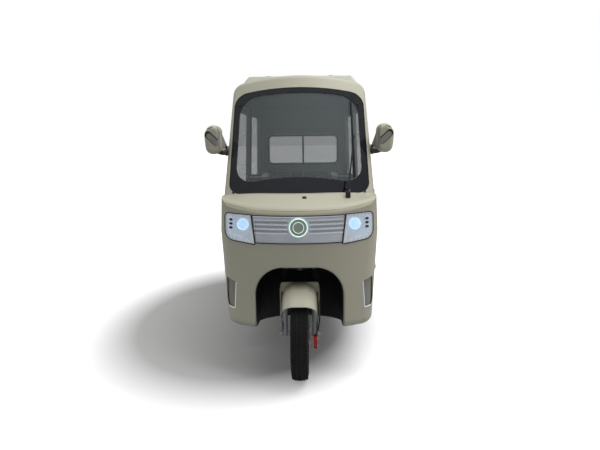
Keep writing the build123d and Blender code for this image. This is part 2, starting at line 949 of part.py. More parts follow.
def mirror_head():
    """Egg-shaped shell on an arm from the pillar, mirror recess at the back."""
    shell = prism_y(mirror_rows, mirror_front_d, mirror_front_d + mirror_deep)
    front = shell.faces().sort_by(Axis.Y)[0]
    shell = fillet(front.edges(), 30)
    back = mirror_front_d + mirror_deep
    shell -= prism_y(mirror_rows, back - 8, back + 5, by=-6)
    arm = bent_tube([at(466, 372, 1284), at(480, 340, 1287), at(500, 296, 1296)], [12], 9)
    foot = block((side_half(1284) - 3, 470), (345, 402), (1256, 1312))
    foot = fillet(foot.edges().filter_by(Axis.X), 14)
    foot -= glazed_volume(0)
    return shell + arm + foot


def mirror_glasses():
    back = mirror_front_d + mirror_deep
    plate = prism_y(mirror_rows, back - 8, back - 4, by=-6.3)
    return both_sides(plate)


wiper_x = 290
wiper_d = 70
blade_x = 343
blade_run = (136, 672)
blade_radius = 6


def wiper():
    """Pivot cap on the cowl, an arm and a long blade up the glass."""
    foot = at(wiper_x, wiper_d, screen_foot_z - 45)
    cap = at(wiper_x, wiper_d - 8, screen_foot_z + 10)
    pivot = rod(foot, cap, 15) - glazed_volume(0)
    middle = (blade_run[0] + blade_run[1]) / 2
    arm = rod(cap - Vector(0, 0, 6), screen_point(blade_x, middle, 14), 5)
    lift = blade_radius + glass_gap - border_inset - border_thick
    ends = [screen_point(blade_x, up, lift) for up in blade_run]
    blade = rod(*ends, blade_radius)
    link = rod(screen_point(blade_x, middle, lift), screen_point(blade_x, middle, 16), 7)
    return pivot + arm + blade + link


# Cabin

def dashboard():
    rows = [
        (118, 965, 30),
        (268, 975, 40),
        (256, 880, 40),
        (120, 860, 20),
    ]
    shelf = prism_x(rows, -500, 500) & glazed_volume(lamp_depth)
    shelf -= rod(on_column(0, 600), on_column(0, 900), 40)
    return shelf


def instrument_display():
    rows = [(175, 970, 0), (235, 973, 0), (228, 1062, 12), (196, 1062, 12)]
    return prism_x(rows, -85, 85) - dashboard()


def driver_seat_base():
    box = block((-190, 190), (790, 1120), (sill_z + wall, 560))
    return fillet(box.edges().filter_by(Axis.Z), 30)


def soft_block(x, d, z, corner=28, edge=18):
    pad = block(x, d, z)
    pad = fillet(pad.edges().filter_by(Axis.Z), corner)
    return fillet(pad.faces().sort_by(Axis.Z)[-1].edges(), edge)


def driver_seat_cushion():
    return soft_block((-225, 225), (745, 1125), (560.3, 645))


def leaning_pad(half, d, z, thick, lean, corner):
    """Backrest: a padded slab that leans back."""
    rows = [(-half, z[0], corner), (half, z[0], corner), (half, z[1], corner), (-half, z[1], corner)]
    slab = prism_y(rows, d, d + thick)
    slab = fillet(slab.faces().sort_by(Axis.Y)[0].edges(), 15)
    pivot = Axis(at(0, d, z[0]), (1, 0, 0))
    return slab.rotate(pivot, -lean)


def driver_seat_backrest():
    return leaning_pad(205, 1128, (600, 985), 62, 8, 45)


def rear_bench_cushion():
    return soft_block((-400, 400), (1690, 2095), (560, 660))


def rear_bench_backrest():
    return leaning_pad(400, 2105, (600, 1040), 70, 8, 45)


# Rear end

def tail_lamps():
    rows = [(352, 640, 14), (352, 800, 14), (412, 800, 14), (412, 640, 14)]
    lamp = prism_y(rows, cab_rear - 40, cab_rear + 12) - glazed_volume(0)
    return both_sides(lamp)


def rear_bumper():
    rows = [
        (cab_rear + 8, 312, 8),
        (rear_end_d, 306, 20),
        (rear_end_d, 384, 20),
        (cab_rear + 8, 378, 8),
    ]
    beam = prism_x(rows, -400, 400)
    beam = beam & block((-400, 400), (0, 3000), (0, 900))
    for x in (-300, 0, 300):
        beam += block((x - 40, x + 40), (cab_rear, cab_rear + 20), (320, 372))
    return beam


rear_end_d = overall_length - tyre_radius


# Doors

def door_space():
    return prism_x(door_rows(0), 300, 600)


hinge_x = belt_half + 7
hinge_d = door_front_d - door_gap / 2


def hinge_barrel(z, low, high, radius):
    return Pos(hinge_x, y_at(hinge_d), z + (low + high) / 2) * Cylinder(radius, high - low)


def door_panel():
    """Door skin with its window and its half of each hinge."""
    panel = skin(door_space() - window_prism())
    for z in hinge_heights:
        barrel = hinge_barrel(z, 2, hinge_length / 2, hinge_radius)
        leaf = block((side_half(z) - 12, hinge_x + 3), (hinge_d + 3, hinge_d + 46), (z + 2, z + hinge_length / 2))
        leaf -= glazed_volume(0)
        panel += barrel + leaf
        panel -= hinge_barrel(z, -40, 60, hinge_pin_radius + hinge_fit)
    return panel


def door_hinge_posts():
    """Fixed knuckles and pins on the fascia side of each door."""
    posts = None
    for z in hinge_heights:
        knuckle = hinge_barrel(z, -hinge_length / 2, 0, hinge_radius)
        pin = hinge_barrel(z, -hinge_length / 2, hinge_length / 2, hinge_pin_radius)
        leaf = block((side_half(z) - 12, hinge_x + 3), (hinge_d - 46, hinge_d - 3), (z - hinge_length / 2, z))
        leaf -= glazed_volume(0)
        one = knuckle + pin + leaf
        posts = one if posts is None else posts + one
    return posts


def door_glass():
    slab = glazed_volume(10) - glazed_volume(15)
    return window_prism(-glass_gap) & slab


def door_handle():
    z = 930
    x = side_half(z)
    grip = rod(at(x + 26, 1110, z), at(x + 26, 1240, z), 8)
    handle = grip
    for d in (1116, 1234):
        handle += rod(at(x - 2, d, z), at(x + 26, d, z), 7)
    return handle - glazed_volume(0)


# Steering

def fork():
    """Steerer, clamps, two legs and the front axle."""
    lead = fork_lead
    body = rod(on_column(0, clamp_s - 10), on_column(0, stem_s), steerer_radius)
    clamp_plane = Plane(origin=on_column(0, clamp_s), x_dir=(1, 0, 0), z_dir=tuple(axis_up))
    wide = leg_x + 24
    rows = [(wide, -lead - 24, 20), (wide, -lead + 26, 20), (34, 30, 20), (-34, 30, 20),
            (-wide, -lead + 26, 20), (-wide, -lead - 24, 20)]
    body += extrude(clamp_plane * outline(rows), clamp_thick)
    for side in (1, -1):
        top = clamp_s + clamp_thick + 7
        body += rod(on_column(side * leg_x, 120, lead), on_column(side * leg_x, top, lead), tube_radius)
        body += rod(on_column(side * leg_x, -30, lead), on_column(side * leg_x, 215, lead), leg_radius)
    body += Pos(0, y_at(0), axle_z) * Rot(0, 90, 0) * Cylinder(axle_radius, 2 * 106)
    for side in (1, -1):
        body += Pos(side * (leg_x + 17), y_at(0), axle_z) * Rot(0, 90, 0) * Cylinder(13, 10, rotation=(0, 0, 0))
    return body


bar_half = 345
grip_length = 98


def bar_points():
    top = on_column(0, stem_s)
    d = trail_offset + stem_s * math.sin(rake)
    z = top.Z
    return [
        at(-bar_half, d + 150, z + 26),
        at(-168, d + 112, z + 34),
        at(-85, d + 8, z + 12),
        at(85, d + 8, z + 12),
        at(168, d + 112, z + 34),
        at(bar_half, d + 150, z + 26),
    ]


def handlebar():
    bar = bent_tube(bar_points(), [30, 36, 36, 30], 11)
    clamp = block((-35, 35), (column_d(on_column(0, stem_s).Z) - 24, column_d(on_column(0, stem_s).Z) + 34),
                  (on_column(0, stem_s).Z - 14, on_column(0, stem_s).Z + 22))
    return bar + fillet(clamp.edges(), 6) - rod(on_column(0, 700), on_column(0, stem_s), steerer_radius)


def grips():
    points = bar_points()
    out = []
    for end, inner in ((points[0], points[1]), (points[5], points[4])):
        run = (inner - end).normalized()
        sleeve = rod(end - run * 4, end + run * grip_length, 17)
        sleeve -= rod(end, end + run * (grip_length + 10), 11)
        out.append(sleeve)
    return Compound(children=out)


def switchgear():
    points = bar_points()
    out = []
    for end, inner in ((points[0], points[1]), (points[5], points[4])):
        run = (inner - end).normalized()
        start = end + run * (grip_length + 2)
        box = rod(start, start + run * 42, 27)
        box -= rod(start - run * 5, start + run * 60, 11)
        lever = rod(start + run * 20 + Vector(0, -24, 0), end + run * 5 + Vector(0, -62, 4), 5)
        out.append(box + lever)
    return Compound(children=out)


def front_fender():
    """Fender swept about the axle: deep round nose, wider tail over the fork legs."""
    def ring(rows, start, sweep_angle):
        face = outline([(x, axle_z + r, rad) for x, r, rad in rows])
        turned = Plane(origin=(0, y_at(0), 0), x_dir=(1, 0, 0), z_dir=(0, -1, 0)) * face
        axis = Axis((0, y_at(0), axle_z), (1, 0, 0))
        turned = turned.rotate(axis, start)
        return revolve(turned, axis, sweep_angle)

    half, top, skirt = fender_half, fender_radius, 205
    t = fender_wall
    nose_rows = [
        (half, skirt, 0), (half - 8, 252, 50), (46, top, 60), (-46, top, 60), (-half + 8, 252, 50),
        (-half, skirt, 0), (-half + t, skirt, 0), (-half + 8 + t, 251, 48), (-45, top - t, 58),
        (45, top - t, 58), (half - 8 - t, 251, 48), (half - t, skirt, 0),
    ]
    wide = half + 14
    tail_rows = [
        (wide, 226, 0), (wide - 4, top, 14), (-wide + 4, top, 14), (-wide, 226, 0),
        (-wide + t, 226, 0), (-wide + 4 + t, top - t, 11), (wide - 4 - t, top - t, 11), (wide - t, 226, 0),
    ]
    nose = ring(nose_rows, fender_front_angle, -(fender_front_angle + 8))
    tail = ring(tail_rows, -8, -(fender_rear_angle - 8))
    web = ring([(wide, 226, 0), (wide - 4, top, 14), (-wide + 4, top, 14), (-wide, 226, 0),
                (-half + t, 226, 0), (-half + 8 + t, 251, 48), (-45, top - t, 58),
                (45, top - t, 58), (half - 8 - t, 251, 48), (half - t, 226, 0)], -8, -1)
    fender = nose + tail + web
    ear_rows = [(14, 500, 10), (112, 500, 10), (136, 318, 14), (120, 300, 10), (24, 300, 10)]
    ear = prism_x(ear_rows, wide - 4, wide)
    fender += ear + left_of(ear)
    for side in (1, -1):
        fender -= rod(on_column(side * leg_x, 180, fork_lead), on_column(side * leg_x, 340, fork_lead), 17.3)
    return fender


def brake_caliper():
    body = block((66, 98), (-100, -46), (196, 258))
    body = fillet(body.edges().filter_by(Axis.X), 10)
    body -= Pos(73, y_at(0), axle_z) * Rot(0, 90, 0) * Cylinder(disc_radius + 4, 8)
    bracket = block((90, 98), (-60, -6), (215, 250))
    leg = rod(on_column(leg_x, -60, fork_lead), on_column(leg_x, 100, fork_lead), leg_radius)
    return body + bracket - leg


# Wheels

def wheel_turn(rows, x):
    """Revolve rows of (x from the middle, radius from the axle, corner radius)."""
    face = outline([(a, r, c) for a, r, c in rows])
    return Pos(x, 0, 0) * revolve(face, Axis.X)


def tyre(x, d):
    half = tyre_width / 2
    rows = [
        (half - 19, rim_radius - 1.5, 4),
        (half, 200, 22),
        (half - 6, 236, 14),
        (22, tyre_radius, 40),
        (-22, tyre_radius, 40),
        (-half + 6, 236, 14),
        (-half, 200, 22),
        (-half + 19, rim_radius - 1.5, 4),
        (-half + 28, rim_radius + 2, 3),
        (-half + 10, 200, 12),
        (-20, 232, 16),
        (20, 232, 16),
        (half - 10, 200, 12),
        (half - 28, rim_radius + 2, 3),
    ]
    return Pos(0, y_at(d), axle_z) * wheel_turn(rows, x)


def rim_band(x):
    half = 38
    rows = [
        (half, rim_radius + 6, 2),
        (half, rim_radius - 8, 3),
        (half - 12, rim_radius - 22, 6),
        (-half + 12, rim_radius - 22, 6),
        (-half, rim_radius - 8, 3),
        (-half, rim_radius + 6, 2),
        (-half + 6, rim_radius - 3, 2),
        (-half + 18, rim_radius - 16, 4),
        (half - 18, rim_radius - 16, 4),
        (half - 6, rim_radius - 3, 2),
    ]
    return wheel_turn(rows, x)


def front_rim():
    turn = Rot(0, 90, 0)
    hub = turn * Cylinder(34, 90)
    wheel = rim_band(0) + hub
    for number in range(5):
        spoke = Pos(0, 0, 88) * Box(26, 34, 112)
        wheel += Rot(72 * number, 0, 0) * spoke
    disc = Pos(58, 0, 0) * turn * (Cylinder(disc_radius, 4) - Cylinder(60, 10))
    for number in range(6):
        disc += Pos(58, 0, 0) * (Rot(60 * number, 0, 0) * (Pos(0, 0, 48) * Box(4, 16, 34)))
    wheel += disc + Pos(52, 0, 0) * turn * Cylinder(36, 16)
    wheel -= turn * Cylinder(axle_radius + pivot_fit, 200)
    return Pos(0, y_at(0), axle_z) * wheel


def rear_rim(side):
    """Pressed steel wheel with a dished face and hand holes."""
    turn = Rot(0, 90, 0)
    face_rows = [
        (-30, 0, 0), (-30, 60, 4), (6, 78, 10), (12, 130, 8), (4, rim_radius - 20, 2),
        (0, rim_radius - 20, 0), (4, 128, 6), (-2, 84, 8), (-36, 66, 4), (-36, 0, 0),
    ]
    face = outline([(a, r, c) for a, r, c in face_rows])
    wheel = rim_band(0) + revolve(face, Axis.X)
    for number in range(10):
        hole = Rot(36 * number, 0, 0) * (Pos(0, 0, 106) * turn * Cylinder(11, 60))
        wheel -= hole
    wheel += Pos(-10, 0, 0) * turn * Cylinder(38, 56)
    wheel -= Pos(-24, 0, 0) * turn * Cylinder(rear_axle_radius + pivot_fit, 52)
    if side < 0:
        wheel = left_of(wheel)
    return Pos(side * rear_track / 2, y_at(wheelbase), axle_z) * wheel


def build_nodes():
    """Every node's name and solid."""
    fascia = front_fascia()
    posts = door_hinge_posts()
    fascia = fascia + posts + left_of(posts)
    door = door_panel()
    pane = door_glass()
    handle = door_handle()
    mirror_one = mirror_head()
    lamp = headlamp()
    box = wheel_box()
    nodes = {
        "chassis_frame": chassis_frame(),
        "floor_pan": floor_pan(),
        "wheel_boxes": both_sides(box),
        "front_fascia": fascia,
        "wheel_well_liner": liner(),
        "windscreen_frame": windscreen_frame(),
        "roof_panel": roof_panel(),
        "side_panel_left": side_panel(-1),
        "side_panel_right": side_panel(1),
        "rear_panel": rear_panel(),
        "windscreen_glass": windscreen_glass(),
        "windscreen_border": windscreen_border(),
        "wiper": wiper(),
        "headlamp_left": left_of(lamp),
        "headlamp_right": lamp,
        "lamp_lenses": lamp_lenses(),
        "front_lights": front_lights(),
        "grille_panel": grille_panel(),
        "vent_inserts": vent_inserts(),
        "mirror_left": left_of(mirror_one),
        "mirror_right": mirror_one,
        "mirror_glasses": mirror_glasses(),
        "dashboard": dashboard(),
        "instrument_display": instrument_display(),
        "driver_seat_base": driver_seat_base(),
        "driver_seat_cushion": driver_seat_cushion(),
        "driver_seat_backrest": driver_seat_backrest(),
        "rear_bench_cushion": rear_bench_cushion(),
        "rear_bench_backrest": rear_bench_backrest(),
        "quarter_glass": quarter_glass(),
        "rear_glass": rear_glass(),
        "rear_window_seal": rear_window_seal(),
        "tail_lamps": tail_lamps(),
        "rear_bumper": rear_bumper(),
        "rear_axle": rear_axle(),
        "leaf_springs": leaf_springs(),
        "battery_box": battery_box(),
        "fork": fork(),
        "handlebar": handlebar(),
        "grips": grips(),
        "switchgear": switchgear(),
        "front_fender": front_fender(),
        "brake_caliper": brake_caliper(),
        "front_tyre": tyre(0, 0),
        "front_rim": front_rim(),
        "door_panel_left": left_of(door),
        "door_panel_right": door,
        "door_glass_left": left_of(pane),
        "door_glass_right": pane,
        "door_handle_left": left_of(handle),
        "door_handle_right": handle,
    }
    for name, side in (("left", -1), ("right", 1)):
        nodes[f"rear_tyre_{name}"] = tyre(side * rear_track / 2, wheelbase)
        nodes[f"rear_rim_{name}"] = rear_rim(side)
    return nodes


def main():
    os.makedirs("parts", exist_ok=True)
    for name, solid in build_nodes().items():
        export_step(solid, f"parts/{name}.step")


main()
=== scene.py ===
import math
import bmesh
import bpy
from mathutils import Euler, Matrix, Vector
from mathutils.bvhtree import BVHTree


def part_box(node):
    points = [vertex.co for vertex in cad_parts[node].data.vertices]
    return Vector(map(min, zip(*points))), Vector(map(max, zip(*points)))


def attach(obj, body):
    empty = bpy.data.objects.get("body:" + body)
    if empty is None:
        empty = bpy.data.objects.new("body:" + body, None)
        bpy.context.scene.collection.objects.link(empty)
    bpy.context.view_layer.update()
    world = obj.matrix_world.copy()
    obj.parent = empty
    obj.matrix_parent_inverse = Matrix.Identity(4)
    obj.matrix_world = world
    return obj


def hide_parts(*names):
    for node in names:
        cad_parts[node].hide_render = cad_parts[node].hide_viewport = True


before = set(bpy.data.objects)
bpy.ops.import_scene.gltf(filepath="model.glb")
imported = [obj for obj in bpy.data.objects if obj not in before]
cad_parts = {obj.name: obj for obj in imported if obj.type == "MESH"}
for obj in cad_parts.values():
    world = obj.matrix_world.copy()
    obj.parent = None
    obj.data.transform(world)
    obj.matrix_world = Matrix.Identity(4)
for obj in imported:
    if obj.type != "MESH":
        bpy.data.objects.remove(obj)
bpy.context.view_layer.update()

FRONT_AXLE_Y = -1052.5
AXLE_HEIGHT = 247.5
WHEELBASE = 1950
REAR_WHEEL_X = 450
NOSE_BOW = 850
NOSE_START = -85
GLASS_BOW = 950
GLASS_FOOT = (60, 1034)
GLASS_HEAD = (400, 1696)
RAKE = math.radians(20)
# How far the axle stands ahead of the steering axis, level and square to it
TRAIL = 42
FORK_LEAD = TRAIL * math.cos(RAKE)
LEG_X = 86

# Ways of looking at the object, and other directions
AHEAD = Vector((0, 1, 0))
BACK = Vector((0, -1, 0))
DOWN = Vector((0, 0, -1))
UP = Vector((0, 0, 1))
ORIGIN = Vector((0, 0, 0))
SIDES = (("left", -1), ("right", 1))


def mm(value):
    return value / 1000


def at(x, behind, z):
    """A place from its distance right of the middle, behind the front axle and above the ground."""
    return Vector((x, behind + FRONT_AXLE_Y, z)) / 1000


def on_nose(x, z, proud=0):
    """A place on the bowed nose skin, moved out by proud."""
    turn = math.asin(x / NOSE_BOW)
    reach = NOSE_BOW + proud
    return at(reach * math.sin(turn), NOSE_START + NOSE_BOW - reach * math.cos(turn), z)


glass_run = Vector((0, GLASS_HEAD[0] - GLASS_FOOT[0], GLASS_HEAD[1] - GLASS_FOOT[1])).normalized()
glass_out = Vector((0, -glass_run.z, glass_run.y))


def on_glass(x, up, proud=0):
    """A place on the windscreen's cylinder, up its slope from the foot."""
    sink = GLASS_BOW - math.sqrt(GLASS_BOW**2 - x**2)
    foot = Vector((x, GLASS_FOOT[0] + FRONT_AXLE_Y, GLASS_FOOT[1]))
    return (foot + glass_run * up + glass_out * (proud - sink)) / 1000


column_up = Vector((0, math.sin(RAKE), math.cos(RAKE)))
column_ahead = Vector((0, -math.cos(RAKE), math.sin(RAKE)))


def on_column(x, along, ahead=0):
    """A place beside the steering axis, along it from the axle's height."""
    foot = Vector((x, TRAIL + FRONT_AXLE_Y, AXLE_HEIGHT))
    return (foot + column_up * along + column_ahead * ahead) / 1000


# Finishes

RANGE_SOCKETS = ("From Min", "From Max", "To Min", "To Max")


def linear(rgb):
    """A screen colour of 0 to 255 as the shader's linear one."""
    parts = [c / 255 for c in rgb]
    return tuple(c / 12.92 if c < 0.04045 else ((c + 0.055) / 1.055) ** 2.4 for c in parts) + (1,)


class Nodes:
    """A node tree with a few short ways to add to it."""

    def __init__(self, tree):
        self.nodes, self.links = tree.nodes, tree.links

    def join(self, a, b):
        self.links.new(a, b)

    def maths(self, what, a, b):
        node = self.nodes.new("ShaderNodeMath")
        node.operation = what
        self.join(a, node.inputs[0])
        self.join(b, node.inputs[1])
        return node.outputs[0]

    def range(self, value, low, high, to_low, to_high, kind="LINEAR"):
        node = self.nodes.new("ShaderNodeMapRange")
        node.interpolation_type = kind
        for socket, number in zip(RANGE_SOCKETS, (low, high, to_low, to_high)):
            node.inputs[socket].default_value = number
        self.join(value, node.inputs["Value"])
        return node.outputs["Result"]

    def seen_by_camera(self):
        """One for what the camera sees, straight or through glass."""
        path = self.nodes.new("ShaderNodeLightPath").outputs
        return self.maths("MAXIMUM", path["Is Camera Ray"], path["Is Transmission Ray"])


class Finish(Nodes):
    """A node material with a surface colour, its mottling and its relief."""

    def __init__(self, name, rgb, rough, **sockets):
        self.material = bpy.data.materials.new(name)
        self.material.use_nodes = True
        super().__init__(self.material.node_tree)
        self.shader = self.nodes["Principled BSDF"]
        self.rgb, self.rough = rgb, rough
        self.put("Base Color", linear(rgb))
        self.put("Roughness", rough)
        for socket, value in sockets.items():
            self.put(socket.replace("_", " "), value)
        self.place = self.nodes.new("ShaderNodeTexCoord").outputs["Object"]
        self.relief = None

    def put(self, socket, value):
        self.shader.inputs[socket].default_value = value

    def texture(self, kind, per_metre, output, stretch=None):
        node = self.nodes.new("ShaderNodeTex" + kind)
        node.inputs["Scale"].default_value = per_metre
        place = self.place
        if stretch:
            mapping = self.nodes.new("ShaderNodeMapping")
            mapping.inputs["Scale"].default_value = stretch
            self.join(place, mapping.inputs["Vector"])
            place = mapping.outputs["Vector"]
        self.join(place, node.inputs["Vector"])
        return node, node.outputs[output]

    def noise(self, per_metre, detail=3, stretch=None):
        node, value = self.texture("Noise", per_metre, "Fac", stretch)
        node.inputs["Detail"].default_value = detail
        return value

    def cells(self, per_metre, feature="DISTANCE_TO_EDGE"):
        node = self.texture("Voronoi", per_metre, "Distance")[0]
        node.feature = feature
        return node.outputs["Distance"]

    def ribs(self, per_metre, direction="X"):
        node, value = self.texture("Wave", per_metre, "Fac")
        node.bands_direction = direction
        return value

    def mottle(self, value, other, amount):
        """Drifts the colour towards another one."""
        mix = self.nodes.new("ShaderNodeMix")
        mix.data_type = "RGBA"
        mix.inputs[6].default_value = linear(self.rgb)
        mix.inputs[7].default_value = linear(other)
        self.join(self.range(value, 0.3, 0.7, 0, amount), mix.inputs["Factor"])
        self.join(mix.outputs[2], self.shader.inputs["Base Color"])

    def uneven(self, value, spread):
        """Makes the gloss vary a little."""
        vary = self.range(value, 0.3, 0.7, self.rough - spread, self.rough + spread)
        self.join(vary, self.shader.inputs["Roughness"])

    def raised(self, value, depth, strength):
        """Adds relief of a depth in millimetres; several add up."""
        node = self.nodes.new("ShaderNodeBump")
        node.inputs["Strength"].default_value = strength
        node.inputs["Distance"].default_value = mm(depth)
        self.join(value, node.inputs["Height"])
        if self.relief:
            self.join(self.relief, node.inputs["Normal"])
        self.relief = node.outputs["Normal"]
        self.join(self.relief, self.shader.inputs["Normal"])


def surface(name, rgb, rough, tint=None, relief=(), gloss=None, lit=None, **sockets):
    """A material from its colour drift, rows of relief, uneven gloss and own light."""
    skin = Finish(name, rgb, rough, **sockets)
    patterns = {"noise": skin.noise, "cells": skin.cells, "ribs": skin.ribs}
    if tint:
        pattern, other, amount = tint
        skin.mottle(skin.noise(*pattern), other, amount)
    for kind, pattern, depth, strength in relief:
        skin.raised(patterns[kind](*pattern), depth, strength)
    if gloss:
        skin.uneven(skin.noise(*gloss[0]), gloss[1])
    if lit:
        skin.put("Emission Color", linear(lit))
    return skin.material


def lacquer(name, rgb, other):
    return surface(name, rgb, 0.4, ((2.2, 4), other, 0.35), [("noise", (130, 2), 0.05, 0.25)],
                   ((9, 3), 0.04), Coat_Weight=0.5, Coat_Roughness=0.08, Metallic=0.1)


def moulded(name, rgb, rough=0.55, grain=900):
    return surface(name, rgb, rough, ((14, 4), tuple(c + 12 for c in rgb), 0.6),
                   [("noise", (grain, 2), 0.08, 0.5)], ((40,), 0.06))


def brushed(name, rgb, rough, stretch=(1, 1, 12), metallic=1.0):
    return surface(name, rgb, rough, ((30, 4, stretch), tuple(c * 0.8 for c in rgb), 0.7),
                   [("noise", (400, 2, stretch), 0.03, 0.4)], ((25,), 0.08), Metallic=metallic)


def clear_pane(name, rgb, alpha):
    return surface(name, rgb, 0.03, None, [("noise", (3, 1), 0.3, 0.05)], ((5,), 0.01), Alpha=alpha,
                   IOR=1.5)


def glow(name, rgb, strength):
    return surface(name, rgb, 0.3, ((60,), (255, 255, 255), 0.3), lit=rgb, Emission_Strength=strength)


BODY = lacquer("body lacquer", (186, 184, 166), (175, 172, 152))
ROOF = lacquer("roof lacquer", (190, 190, 176), (180, 179, 163))
FRAME = surface("frame powder coat", (38, 40, 42), 0.5, ((10, 5), (66, 64, 60), 0.6),
                [("noise", (700, 2), 0.12, 0.6)], Metallic=0.2)
BLACK = moulded("black plastic", (30, 31, 33))
GREY = moulded("grey plastic", (136, 134, 128))
DARK = moulded("dark grey plastic", (62, 62, 63))
SEAL = moulded("seal rubber", (20, 21, 22), 0.7, 500)
MAT = surface("ribbed floor mat", (52, 53, 54), 0.8, ((8, 5), (84, 80, 74), 0.7),
              [("ribs", (22,), 1.5, 0.8), ("noise", (600,), 0.1, 0.5)])
CLEAR = clear_pane("windscreen glass", (128, 138, 142), 0.2)
TINTED = clear_pane("tinted side glass", (70, 78, 80), 0.5)
BORDER = moulded("ceramic glass border", (12, 16, 23), 0.1, 200)
# Painted light: the lamp bowls and their wedges glow a little to stay pale in the shade of the lamp cover
GLOWING_BOWL = surface("lamp bowl silver with painted glow", (206, 214, 222), 0.3, ((20,), (226, 232, 240), 0.5),
               [("ribs", (30, "Z"), 0.4, 0.25)], lit=(206, 214, 224), Metallic=0.2, Emission_Strength=0.3)
COVER = surface("lamp cover", (220, 228, 234), 0.06, None, [("ribs", (28,), 0.3, 0.12)], Alpha=0.3,
                IOR=1.49)
GLOW = glow("ring light", (208, 240, 228), 0.85)
LENS = glow("projector glow", (176, 214, 242), 1.15)
PALE = moulded("ring disc", (160, 168, 160), 0.3, 150)
# The seam bead's pale yellow is partly the real seam and partly a painted highlight along the cowl crease
SEAM_HIGHLIGHT = moulded("seam bead with painted highlight", (204, 186, 134), 0.5, 300)
KNOB = moulded("red switch", (176, 30, 26), 0.35, 300)
TRIM = moulded("door trim card", (98, 96, 92), 0.8, 700)
READOUT = glow("display readout", (120, 196, 214), 0.5)
GRILLE = surface("grille silver", (206, 212, 222), 0.32, ((12, 3), (216, 222, 230), 0.6),
                 [("noise", (260,), 0.04, 0.3)], ((30,), 0.05), Metallic=0.05)
# Painted highlight: a pale glow for the grille's beads and top chamfer, the vent lips and the projector
# bezels, which are no lamps
PAINTED_HIGHLIGHT = glow("painted highlight glow", (226, 230, 236), 0.25)
MIRROR = surface("mirror silver", (206, 212, 216), 0.03, gloss=((6,), 0.01), Metallic=1.0)
LEATHER = surface("seat leather", (54, 50, 47), 0.5, ((11, 4), (74, 68, 62), 0.8),
                  [("cells", (420,), 0.25, 0.5), ("noise", (60, 3), 0.4, 0.3)], ((20,), 0.07),
                  Sheen_Weight=0.15)
THREAD = moulded("seat thread", (168, 160, 146), 0.7, 1500)
RED = surface("tail lens red", (150, 16, 18), 0.12, ((30,), (110, 8, 12), 0.6),
              [("cells", (160, "F1"), 0.8, 0.6)], lit=(190, 20, 20), Coat_Weight=0.6,
              Emission_Strength=0.08)
AMBER = moulded("amber lens", (196, 110, 30), 0.15, 120)
STEEL = brushed("brushed steel", (196, 200, 204), 0.34, metallic=0.55)
ALLOY = brushed("wheel silver", (188, 191, 194), 0.36, (4, 4, 4), 0.8)
TYRE = surface("tyre rubber", (14, 16, 18), 0.78, ((18, 5), (30, 30, 29), 0.7),
               [("noise", (500, 3), 0.15, 0.6)])
CALIPER = moulded("caliper red", (168, 28, 26), 0.35, 400)
BATTERY = moulded("battery case", (92, 98, 104), 0.5, 300)
DISPLAY = surface("display glass", (12, 16, 22), 0.08, ((12,), (22, 30, 40), 0.8), Coat_Weight=0.5)
HEADLINER = moulded("cabin lining", (186, 187, 184), 0.85, 1200)

node_finishes = {
    BODY: ["front_fascia", "windscreen_frame", "side_panel_left", "side_panel_right", "rear_panel",
           "door_panel_left", "door_panel_right", "mirror_left", "mirror_right", "front_fender"],
    ROOF: ["roof_panel"],
    FRAME: ["chassis_frame", "rear_axle", "leaf_springs"],
    BLACK: ["wheel_well_liner", "wheel_boxes", "dashboard", "driver_seat_base", "rear_bumper", "handlebar",
            "wiper"],
    GREY: ["vent_inserts"],
    MAT: ["floor_pan"],
    CLEAR: ["windscreen_glass"],
    TINTED: ["quarter_glass", "rear_glass", "door_glass_left", "door_glass_right"],
    BORDER: ["windscreen_border"],
    SEAL: ["rear_window_seal", "grips"],
    GLOWING_BOWL: ["headlamp_left", "headlamp_right"],
    COVER: ["lamp_lenses"],
    GLOW: ["front_lights"],
    GRILLE: ["grille_panel"],
    MIRROR: ["mirror_glasses"],
    LEATHER: ["driver_seat_cushion", "driver_seat_backrest", "rear_bench_cushion", "rear_bench_backrest"],
    RED: ["tail_lamps"],
    STEEL: ["fork", "door_handle_left", "door_handle_right"],
    ALLOY: ["front_rim", "rear_rim_left", "rear_rim_right", "switchgear"],
    TYRE: ["front_tyre", "rear_tyre_left", "rear_tyre_right"],
    CALIPER: ["brake_caliper"],
    BATTERY: ["battery_box"],
    DISPLAY: ["instrument_display"],
}
for material, names in node_finishes.items():
    for name in names:
        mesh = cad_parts[name].data
        if mesh.materials:
            for index in range(len(mesh.materials)):
                mesh.materials[index] = material
        else:
            mesh.materials.append(material)


# Mesh making

def mesh_of(shape, crease=35):
    """A finished mesh from a bmesh: doubles merged, faces outwards, sharp corners kept."""
    bmesh.ops.remove_doubles(shape, verts=shape.verts, dist=1e-6)
    bmesh.ops.recalc_face_normals(shape, faces=shape.faces)
    for edge in shape.edges:
        edge.smooth = not edge.is_manifold or edge.calc_face_angle() < math.radians(crease)
    for face in shape.faces:
        face.smooth = True
    return mesh_from(shape)


def placed(name, data):
    """A new object in the scene."""
    obj = bpy.data.objects.new(name, data)
    bpy.context.scene.collection.objects.link(obj)
    return obj


def piece(name, mesh, finish, body="root", instead_of=()):
    """Puts a mesh in the scene as a piece that rides on a body."""
    obj = placed(name, mesh)
    mesh.name = name
    mesh.materials.clear()
    mesh.materials.append(finish)
    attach(obj, body)
    if instead_of:
        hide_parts(*instead_of)


def mesh_from(shape):
    mesh = bpy.data.meshes.new("piece")
    shape.to_mesh(mesh)
    shape.free()
    return mesh


def joined(*meshes):
    """Several meshes as one."""
    whole = bmesh.new()
    for mesh in meshes:
        whole.from_mesh(mesh)
        bpy.data.meshes.remove(mesh)
    return mesh_from(whole)


def mirrored(mesh):
    """A mesh and its mirror image on the other side of the middle."""
    other = mesh.copy()
    other.transform(Matrix.Scale(-1, 4, (1, 0, 0)))
    other.flip_normals()
    return joined(mesh, other)


def both(make):
    """The left and the right one of what a function makes for a side."""
    return joined(make(-1), make(1))


